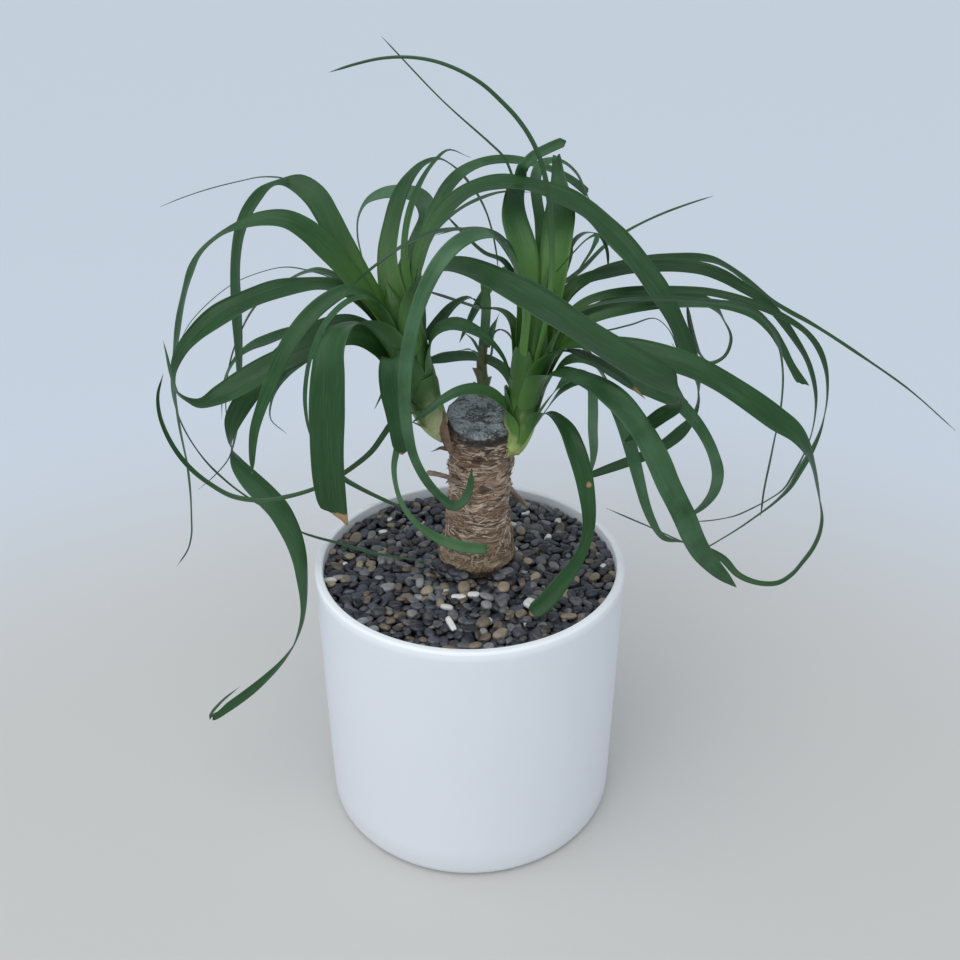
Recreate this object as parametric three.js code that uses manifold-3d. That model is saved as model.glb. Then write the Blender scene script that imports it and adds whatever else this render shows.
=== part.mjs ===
// Potted ponytail palm: a cut trunk with three leafy shoots, in a white cylindrical pot.
// Units are millimetres, +Z is up, and the origin is the centre of the pot's underside.
import * as THREE from 'three';
import Module from 'manifold-3d';
import { mergeVertices } from 'three/addons/utils/BufferGeometryUtils.js';

// Driving dimensions
const potHeight = 219;
const potTopRadius = 118.5;
const potFootRadius = 117.5;
const potFootFillet = 8;
const potWall = 6.5;
const potFloor = 10;
const soilTop = 190;
const pebbleTop = 210.5;
const pebbleRipple = 1.2;
const trunkFoot = new THREE.Vector2(4, 14);
const trunkTop = new THREE.Vector2(8, 13);
const cutHeight = 334;
const cutSlope = 0.36;
const gap = 0.3;
const bladeThickness = 1.2;
const bladeFold = 0.06;
const stationSpacing = 15;

const wasm = await Module();
wasm.setup();

// Closed mesh from corner points and triangles
function meshGeometry(points, triangles) {
  const geometry = new THREE.BufferGeometry();
  geometry.setAttribute('position', new THREE.Float32BufferAttribute(points.flat(), 3));
  geometry.setIndex(triangles.flat());
  return geometry;
}

// Triangles of a skin of rings, with a fan from corner 1 over the first and the last ring.
// The sides from `turned` on are split along their other diagonal.
function ringTriangles(rings, sides, turned = sides) {
  const triangles = [];
  for (let ring = 0; ring < rings - 1; ring += 1) {
    for (let side = 0; side < sides; side += 1) {
      const a = ring * sides + side;
      const b = ring * sides + (side + 1) % sides;
      if (side < turned) {
        triangles.push([a, b, b + sides], [a, b + sides, a + sides]);
      } else {
        triangles.push([a, b, a + sides], [b, b + sides, a + sides]);
      }
    }
  }
  const last = (rings - 1) * sides;
  for (let side = 2; side < sides; side += 1) {
    const next = (side + 1) % sides;
    triangles.push([1, next, side], [last + 1, last + side, last + next]);
  }
  return triangles;
}

function toManifold(geometry) {
  const bare = geometry.clone();
  bare.deleteAttribute('normal');
  bare.deleteAttribute('uv');
  const merged = mergeVertices(bare, 1e-4);
  return new wasm.Manifold(new wasm.Mesh({
    numProp: 3,
    vertProperties: new Float32Array(merged.attributes.position.array),
    triVerts: new Uint32Array(merged.index.array),
  }));
}

function fromManifold(solid) {
  const { vertProperties, triVerts } = solid.getMesh();
  const geometry = new THREE.BufferGeometry();
  geometry.setAttribute('position', new THREE.Float32BufferAttribute(vertProperties, 3));
  geometry.setIndex(new THREE.Uint32BufferAttribute(triVerts, 1));
  return geometry;
}

function lerp(a, b, share) {
  return a + (b - a) * share;
}

// Value of a [place, value] list at a place between its rows
function along(rows, place) {
  const next = rows.findIndex(([at]) => at >= place);
  if (next < 0) return rows[rows.length - 1][1];
  if (next === 0) return rows[0][1];
  const [low, high] = [rows[next - 1], rows[next]];
  return lerp(low[1], high[1], (place - low[0]) / (high[0] - low[0]));
}

// Pot: a turned shell with a rounded foot and a rounded rim
function potRadius(height) {
  return lerp(potFootRadius, potTopRadius, height / potHeight);
}

function potGeometry() {
  const profile = [new THREE.Vector2(0, 0)];
  const corner = (x, y, radius, from, to, steps) => {
    for (let step = 0; step <= steps; step += 1) {
      const angle = THREE.MathUtils.degToRad(lerp(from, to, step / steps));
      profile.push(new THREE.Vector2(x + radius * Math.cos(angle), y + radius * Math.sin(angle)));
    }
  };
  const rim = potWall / 2;
  const floorRadius = potRadius(potFloor) - potWall;
  corner(potFootRadius - potFootFillet, potFootFillet, potFootFillet, -90, 0, 4);
  corner(potTopRadius - rim, potHeight - rim, rim, 0, 180, 6);
  profile.push(new THREE.Vector2(floorRadius, potFloor + potFootFillet));
  corner(floorRadius - potFootFillet, potFloor + potFootFillet, potFootFillet, -22.5, -90, 3);
  profile.push(new THREE.Vector2(0, potFloor));
  return new THREE.LatheGeometry(profile, 48).rotateX(Math.PI / 2);
}

// Potting soil: fills the pot up to the underside of the pebbles
function soilGeometry() {
  const low = potFloor + potFootFillet + gap;
  const foot = potRadius(potFloor) - potWall - potFootFillet;
  const profile = [
    new THREE.Vector2(0, potFloor + gap),
    new THREE.Vector2(foot - 2, potFloor + gap),
    new THREE.Vector2(foot + 5, low - 4.5),
    new THREE.Vector2(potRadius(low) - potWall - 1.2, low + 2),
    new THREE.Vector2(potRadius(soilTop) - potWall - 1.2, soilTop),
    new THREE.Vector2(0, soilTop),
  ];
  return new THREE.LatheGeometry(profile, 48).rotateX(Math.PI / 2);
}

// Pebble bed: a ring round the trunk with a rippled top
function pebbleGeometry() {
  const sides = 40;
  const rows = 6;
  const hole = 31.2;
  const outer = potRadius(soilTop) - potWall - 0.8;
  const points = [];
  const place = (side, share, height) => {
    const angle = (side / sides) * Math.PI * 2;
    const inner = [trunkFoot.x + hole * Math.cos(angle), trunkFoot.y + hole * Math.sin(angle)];
    const rim = [outer * Math.cos(angle), outer * Math.sin(angle)];
    points.push([lerp(inner[0], rim[0], share), lerp(inner[1], rim[1], share), height]);
  };
  for (let row = 0; row <= rows; row += 1) {
    for (let side = 0; side < sides; side += 1) {
      const ripple = Math.sin(side * 2.3 + row * 1.7) * Math.cos(side * 1.1 - row * 2.9);
      place(side, row / rows, pebbleTop + pebbleRipple * ripple);
    }
  }
  for (const share of [1, 0]) {
    for (let side = 0; side < sides; side += 1) {
      place(side, share, soilTop + gap);
    }
  }
  const triangles = [];
  const rings = rows + 3;
  for (let ring = 0; ring < rings; ring += 1) {
    const after = (ring + 1) % rings;
    for (let side = 0; side < sides; side += 1) {
      const next = (side + 1) % sides;
      const [a, b] = [ring * sides + side, ring * sides + next];
      const [c, d] = [after * sides + side, after * sides + next];
      triangles.push([a, d, b], [a, c, d]);
    }
  }
  return meshGeometry(points, triangles);
}

// Trunk: a waisted column that flares at the foot and is sawn off at a slant
const trunkRadii = [
  [soilTop, 28.5], [211, 30], [221, 28.5], [234, 25.8], [250, 23.4],
  [270, 22], [290, 22], [304, 23], [316, 24.6], [cutHeight, 24.8],
];

function trunkCentre(height) {
  const share = THREE.MathUtils.clamp((height - soilTop) / (cutHeight - soilTop), 0, 1);
  return trunkFoot.clone().lerp(trunkTop, share);
}

function trunkGeometry(grow) {
  const sides = 24;
  const heights = [soilTop + gap, 200, 211, 221, 234, 250, 263, 277, 290, 300, 309, cutHeight];
  const points = [];
  heights.forEach((height, ring) => {
    const centre = trunkCentre(height);
    for (let side = 0; side < sides; side += 1) {
      const angle = (side / sides) * Math.PI * 2;
      const bark = 0.5 * Math.sin(side * 2.1 + ring * 1.3);
      const radius = along(trunkRadii, height) + grow + bark;
      const y = centre.y + radius * Math.sin(angle);
      const slant = height === cutHeight ? (y - trunkTop.y) * cutSlope : 0;
      points.push([centre.x + radius * Math.cos(angle), y, height + slant]);
    }
  });
  return meshGeometry(points, ringTriangles(heights.length, sides));
}

// Shoots: each is a fleshy stem of overlapping leaf bases that grows out of the trunk
const leftShoot = {
  name: 'left_shoot',
  color: 0xb9c489,
  centres: [
    [-13, 10, 317], [-23, 8, 327], [-29, 6, 340], [-35, 3, 363], [-42, 0, 394], [-49, 0, 419], [-55, 1, 437],
  ],
  radii: [6, 8, 10, 12, 12, 10.5, 5.5],
};
const rightShoot = {
  name: 'right_shoot',
  color: 0x9cc25a,
  centres: [
    [20, 8, 305], [29, 6, 311], [35, 5, 324], [39, 5, 347], [43, 7, 376], [47, 9, 405], [50, 11, 430],
  ],
  radii: [6, 8, 9.5, 11, 12.5, 12, 6],
};
const backShoot = {
  name: 'back_shoot',
  color: 0x6f5a45,
  centres: [[9, 29, 330], [10, 36, 347], [9, 41, 362], [10, 45, 374]],
  radii: [3, 3.4, 3.8, 3.2],
};

function shootCurve(shoot) {
  const centres = shoot.centres.map((centre) => new THREE.Vector3(...centre));
  return new THREE.CatmullRomCurve3(centres, false, 'centripetal');
}

// Centre, direction and radius of a shoot at a height
function shootAt(shoot, height) {
  const curve = shootCurve(shoot);
  let low = 0;
  let high = 1;
  for (let pass = 0; pass < 24; pass += 1) {
    const middle = (low + high) / 2;
    if (curve.getPoint(middle).z < height) low = middle;
    else high = middle;
  }
  const place = low * (shoot.radii.length - 1);
  const step = Math.min(Math.floor(place), shoot.radii.length - 2);
  return {
    centre: curve.getPoint(low),
    axis: curve.getTangent(low),
    radius: lerp(shoot.radii[step], shoot.radii[step + 1], place - step),
  };
}

function shootGeometry(shoot) {
  const sides = 12;
  const rings = 4 * (shoot.radii.length - 1);
  const curve = shootCurve(shoot);
  const points = [];
  for (let ring = 0; ring <= rings; ring += 1) {
    const share = ring / rings;
    const centre = curve.getPoint(share);
    const axis = curve.getTangent(share);
    const across = new THREE.Vector3(1, 0, 0).addScaledVector(axis, -axis.x).normalize();
    const away = axis.clone().cross(across);
    const step = Math.min(Math.floor(ring / 4), shoot.radii.length - 2);
    const radius = lerp(shoot.radii[step], shoot.radii[step + 1], ring / 4 - step);
    for (let side = 0; side < sides; side += 1) {
      const angle = (side / sides) * Math.PI * 2;
      const point = centre.clone();
      point.addScaledVector(across, radius * Math.cos(angle));
      point.addScaledVector(away, radius * Math.sin(angle));
      points.push(point.toArray());
    }
  }
  const stem = toManifold(meshGeometry(points, ringTriangles(rings + 1, sides)));
  return fromManifold(stem.subtract(toManifold(trunkGeometry(gap))));
}

// Leaf blade: a thin folded strap that starts on its shoot at the height `seat`. Each row after
// that gives a point of the midrib, the blade's width there and its turn about the midrib.
function bladeGeometry(shoot, seat, rows) {
  const { centre, axis, radius } = shootAt(shoot, seat);
  const outward = new THREE.Vector3(...rows[0].slice(0, 3)).sub(centre);
  outward.addScaledVector(axis, -outward.dot(axis)).normalize();
  const foot = centre.clone().addScaledVector(outward, radius + bladeThickness / 2 + gap);
  const rise = foot.clone().addScaledVector(axis, 7).addScaledVector(outward, 3);
  const [, , , firstWidth, firstTurn] = rows[0];
  const stops = [
    [...foot.toArray(), Math.min(firstWidth, 8), 0],
    [...rise.toArray(), Math.min(firstWidth, 10), firstTurn / 3],
    ...rows,
  ];
  const rail = new THREE.CatmullRomCurve3(
    stops.map(([x, y, z]) => new THREE.Vector3(x, y, z)), false, 'centripetal');
  rail.arcLengthDivisions = 400;
  const steps = Math.max(7, Math.round(rail.getLength() / stationSpacing));
  const side = axis.clone().cross(outward).negate().normalize();
  const points = [];
  for (let step = 0; step <= steps; step += 1) {
    const place = rail.getUtoTmapping(step / steps);
    const middle = rail.getPoint(place);
    const heading = rail.getTangent(place);
    side.addScaledVector(heading, -side.dot(heading)).normalize();
    const upper = side.clone().cross(heading);
    const stop = Math.min(Math.floor(place * (stops.length - 1)), stops.length - 2);
    const share = place * (stops.length - 1) - stop;
    const width = lerp(stops[stop][3], stops[stop + 1][3], share);
    const turn = THREE.MathUtils.degToRad(lerp(stops[stop][4], stops[stop + 1][4], share));
    const across = side.clone().multiplyScalar(Math.cos(turn)).addScaledVector(upper, Math.sin(turn));
    const face = across.clone().cross(heading);
    const fold = width * bladeFold;
    const corner = (sideways, raised) => middle.clone()
      .addScaledVector(across, sideways)
      .addScaledVector(face, raised)
      .toArray();
    points.push(
      corner(-width / 2, fold),
      corner(0, bladeThickness / 2 - fold),
      corner(width / 2, fold),
      corner(0, -bladeThickness / 2 - fold),
    );
  }
  // the lower face is split like the upper one, so the two stay apart where the blade twists
  return meshGeometry(points, ringTriangles(steps + 1, 4, 2));
}

// Leaves of the left shoot: [seat, rows], each row [x, y, z, width, turn]
const leftLeaves = [
  // tall arch to the left that twists over and hangs straight down
  [430, [[-80, 8, 454, 20, 55], [-102, 20, 490, 20, 55], [-114, 25, 496, 16, 50], [-127, 29, 495, 7, 35],
    [-139, 32, 487, 13, 50], [-152, 34, 470, 15, 55], [-160, 33, 445, 14, 60], [-163, 30, 415, 13, 60],
    [-164, 22, 375, 11, 60], [-167, 12, 335, 8, 50], [-178, 4, 300, 5, 20], [-198, -4, 282, 1.6, 20]]],
  // broad arch just below it, whose thin end swings back over the rim on to the pebbles
  [434, [[-82, 0, 447, 20, 55], [-98, -5, 467, 21, 55], [-112, -8, 479, 18, 50], [-130, -10, 481, 14, 35],
    [-148, -12, 476, 12, 10], [-166, -14, 466, 12, 0], [-178, -16, 450, 12, 20], [-188, -16, 425, 12, 25],
    [-197, -14, 395, 9, 25], [-204, -12, 366, 6, 20], [-203, -12, 343, 5, 15], [-194, -8, 313, 4, 10],
    [-182, -4, 292, 4, 10], [-168, 0, 274, 4, 10], [-151, 4, 258, 3.5, 10], [-131, 8, 237, 3.5, 10],
    [-105, 13, 224, 3.5, 0], [-70, 8, 216, 3.5, 0], [-32, -1, 215, 2, 0]]],
  // low arch to the left with a long hanging tip
  [420, [[-82, 2, 433, 13, 20], [-104, -4, 436, 15, 20], [-129, -12, 434, 17, 25], [-152, -18, 426, 18, 30],
    [-173, -22, 414, 17, 30], [-187, -25, 401, 13, 30], [-195, -27, 389, 8, 30], [-198, -27, 367, 5, 20],
    [-199, -25, 336, 4.5, 20], [-199, -22, 307, 4, 20], [-202, -20, 273, 3, 20], [-208, -18, 241, 2, 20],
    [-219, -18, 224, 1.5, 20]]],
  // drooping leaf whose end curls up again
  [391, [[-68, -9, 404, 10, 30], [-99, -16, 398, 15, 40], [-119, -20, 391, 17, 45], [-138, -24, 383, 18, 50],
    [-157, -28, 373, 17, 50], [-174, -32, 365, 14, 30], [-184, -34, 363, 10, 0], [-192, -36, 370, 10, -20],
    [-195, -38, 384, 9, -20], [-196, -38, 400, 6, -20]]],
  // short leaf with a hooked tip
  [384, [[-70, 0, 398, 8, 20], [-94, 0, 393, 10, 20], [-117, 2, 379, 10, 30], [-131, 5, 366, 8, 30],
    [-139, 6, 352, 5, 30], [-143, 6, 339, 4, 30], [-141, 4, 328, 3, 20], [-133, 0, 326, 1.6, 0]]],
  // smooth drooping leaf in front of those
  [408, [[-76, -22, 438, 12, 50], [-93, -31, 432, 15, 55], [-108, -36, 418, 16, 60], [-118, -42, 404, 15, 60],
    [-127, -46, 386, 13, 60], [-135, -48, 369, 11, 60], [-143, -48, 347, 9, 60], [-147, -47, 322, 5, 60]]],
  // widest leaf, hanging at the front left with its end cut off
  [402, [[-60, -28, 416, 14, 0], [-74, -46, 424, 20, 0], [-83, -60, 419, 23, 10], [-86, -68, 402, 24, 20],
    [-89, -72, 369, 24, 30], [-91, -72, 333, 23, 30], [-90, -70, 297, 19, 30]]],
  // longest leaf, hanging outside the pot with its end folded back
  [400, [[-79, 8, 407, 10, 20], [-104, 14, 400, 14, 30], [-136, 6, 376, 16, 50], [-155, -4, 355, 16, 60],
    [-166, -8, 339, 14, 60], [-170, -10, 320, 8, 20], [-164, -14, 304, 13, -50], [-152, -18, 290, 17, -60],
    [-139, -22, 276, 17, -60], [-131, -24, 258, 15, -70], [-126, -26, 238, 12, -70], [-125, -27, 212, 9, -60],
    [-126, -28, 190, 6, -40], [-132, -28, 166, 5, -30], [-144, -28, 143, 6, 0], [-168, -28, 116, 8, 30],
    [-193, -28, 94, 8, 30], [-214, -28, 78, 6, 0], [-206, -20, 88, 5, 0], [-191, -14, 99, 2.5, 0]]],
  // narrow arch at the back left
  [388, [[-76, 22, 395, 8, 10], [-90, 27, 393, 9, 10], [-107, 32, 391, 10, 10], [-126, 38, 388, 11, 20],
    [-149, 42, 379, 11, 20], [-165, 44, 371, 9, 20], [-176, 42, 360, 7, 20],
    [-183, 38, 344, 4, 20], [-186, 34, 322, 1.6, 20]]],
  // thin leaf behind it
  [418, [[-87, 16, 434, 6, 10], [-104, 28, 436, 7, 10], [-120, 40, 429, 8, 10], [-138, 48, 417, 8, 20],
    [-154, 52, 404, 8, 20], [-166, 52, 387, 7, 20], [-176, 48, 366, 5, 20], [-183, 40, 335, 3.5, 20],
    [-181, 30, 299, 1.6, 20]]],
  // thin leaf hanging beside the widest one
  [416, [[-71, -34, 437, 5, 20], [-86, -41, 428, 5, 20], [-96, -46, 414, 5, 20], [-101, -53, 400, 4, 20],
    [-104, -56, 385, 4, 20], [-105, -58, 369, 3.5, 20], [-103, -58, 348, 1.6, 20]]],
  // upright leaf that leans back and arches to the right
  [431, [[-59, 20, 441, 12, 0], [-56, 34, 451, 14, 0], [-53, 52, 465, 13, 0], [-49, 70, 477, 12, 0],
    [-43, 86, 486, 10, 0], [-32, 100, 494, 7, 0], [-21, 108, 495, 6, 0], [-11, 114, 488, 6, 0],
    [-1, 118, 476, 6, 0], [9, 120, 461, 5, 0], [15, 120, 446, 4, 0],
    [20, 116, 425, 3, 0], [22, 112, 410, 1.6, 0]]],
  // thin upright leaf with a nodding tip
  [433, [[-47, 12, 443, 7, 0], [-44, 26, 453, 8, 0], [-42, 38, 466, 7, 0], [-36, 52, 484, 7, 0],
    [-27, 62, 498, 6, 0], [-18, 70, 506, 4, 0], [-9, 74, 509, 3, 0], [-1, 76, 503, 1.6, 0]]],
  // leaf that rises at the back and turns to the left
  [424, [[-49, 28, 428, 10, 0], [-43, 46, 438, 12, 0], [-35, 66, 451, 14, 0], [-30, 84, 463, 14, 0],
    [-40, 104, 470, 14, 0], [-58, 116, 469, 13, 0], [-74, 122, 464, 10, 0], [-84, 124, 453, 9, 0],
    [-87, 122, 438, 8, 0], [-84, 118, 420, 5, 0]]],
  // long arch over the right shoot that comes down on the right and turns back
  [431, [[-43, -2, 436, 12, -30], [-34, 6, 451, 14, -40], [-24, 16, 468, 15, -40], [-13, 24, 481, 16, -45],
    [2, 32, 490, 16, -50], [25, 40, 493, 16, -50], [51, 41, 488, 18, -55], [78, 36, 477, 20, -60],
    [98, 26, 461, 20, -65], [115, 12, 445, 20, -65], [132, -2, 423, 18, -60], [145, -12, 399, 16, -60],
    [156, -17, 373, 12, -45], [157, -19, 352, 6, 0], [148, -16, 333, 9, 40], [130, -10, 314, 8, 40],
    [106, -6, 301, 7, 40], [88, -2, 291, 5, 40]]],
  // arch behind it with a cut end
  [430, [[-41, 14, 438, 10, -20], [-31, 34, 457, 12, -20], [-22, 56, 474, 12, -30], [-9, 76, 489, 12, -40],
    [9, 90, 496, 11, -45], [30, 100, 496, 11, -45], [52, 104, 491, 11, -45], [71, 104, 483, 12, -45],
    [87, 100, 472, 12, -45]]],
  // thin arch in front of it
  [421, [[-34, -10, 448, 5, -30], [-26, -3, 464, 6, -30], [-15, 4, 476, 7, -40], [-5, 8, 483, 7, -40],
    [9, 12, 489, 7, -40], [25, 14, 493, 6, -30], [38, 16, 492, 3, -30]]],
  // broad front leaf that crosses to the right and folds under at its end
  [419, [[-42, -14, 427, 12, -20], [-31, -17, 444, 16, -25],
    [-18, -21, 454, 20, -30], [-1, -32, 456, 24, -30],
    [17, -47, 453, 26, -30], [38, -61, 446, 27, -30], [58, -74, 437, 27, -30], [79, -87, 427, 27, -30],
    [99, -98, 418, 27, -25], [116, -106, 411, 26, -30], [124, -110, 402, 20, -45], [120, -109, 393, 16, -60],
    [111, -105, 383, 13, -60], [102, -101, 373, 12, -60], [95, -98, 366, 10, -60]]],
  // blunt leaf hanging in front of the stem
  [394, [[-45, -20, 407, 10, 0], [-49, -33, 404, 13, 0], [-52, -41, 386, 14, 0], [-49, -44, 360, 13, 0],
    [-45, -46, 331, 12, 0]]],
  // narrow leaf that hangs and sweeps round the foot of the trunk
  [376, [[-42, -20, 374, 6, 0], [-46, -26, 352, 6, 0], [-49, -30, 330, 6, 0], [-52, -34, 313, 5, 0],
    [-50, -36, 297, 4, 0], [-45, -36, 282, 5, 0], [-34, -34, 266, 7, 20], [-18, -30, 252, 9, 40],
    [-1, -28, 245, 10, 50], [13, -27, 243, 9, 50]]],
  // narrow leaf that sweeps down, far out to the left and up
  [366, [[-50, -16, 358, 6, 0], [-55, -26, 344, 6, 10], [-62, -34, 333, 6, 20], [-74, -40, 323, 5, 20],
    [-88, -44, 314, 5, 20], [-103, -48, 307, 4.5, 20], [-123, -50, 301, 4.5, 20], [-144, -50, 298, 5, 20],
    [-161, -48, 299, 5, 20], [-178, -44, 307, 4.5, 20], [-194, -41, 322, 4.5, 20], [-205, -38, 344, 4, 20],
    [-207, -38, 367, 3, 20], [-200, -40, 386, 1.6, 20]]],
  // leaf that hangs at the back left, its tip on the pebbles
  [395, [[-66, 30, 398, 8, 0], [-90, 40, 386, 9, 0], [-104, 52, 353, 9, 0], [-110, 61, 307, 8, 0],
    [-111, 68, 266, 7, 0], [-105, 74, 248, 5, 0], [-90, 79, 234, 4, 0], [-72, 80, 223, 3.5, 0],
    [-56, 78, 216, 2, 0]]],
  // leaf that arches straight back
  [410, [[-51, 34, 420, 12, 0], [-50, 66, 424, 14, 0], [-46, 96, 414, 13, 0], [-42, 118, 392, 11, 0],
    [-40, 132, 360, 8, 0], [-40, 138, 330, 2, 0]]],
  // short leaf between the two shoots
  [376, [[-27, -6, 394, 10, -20], [-18, -10, 407, 12, -20], [-6, -13, 412, 12, -20], [4, -14, 408, 10, -20],
    [16, -12, 398, 6, -20], [25, -10, 384, 4, -20], [29, -11, 372, 2, -20]]],
];

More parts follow.
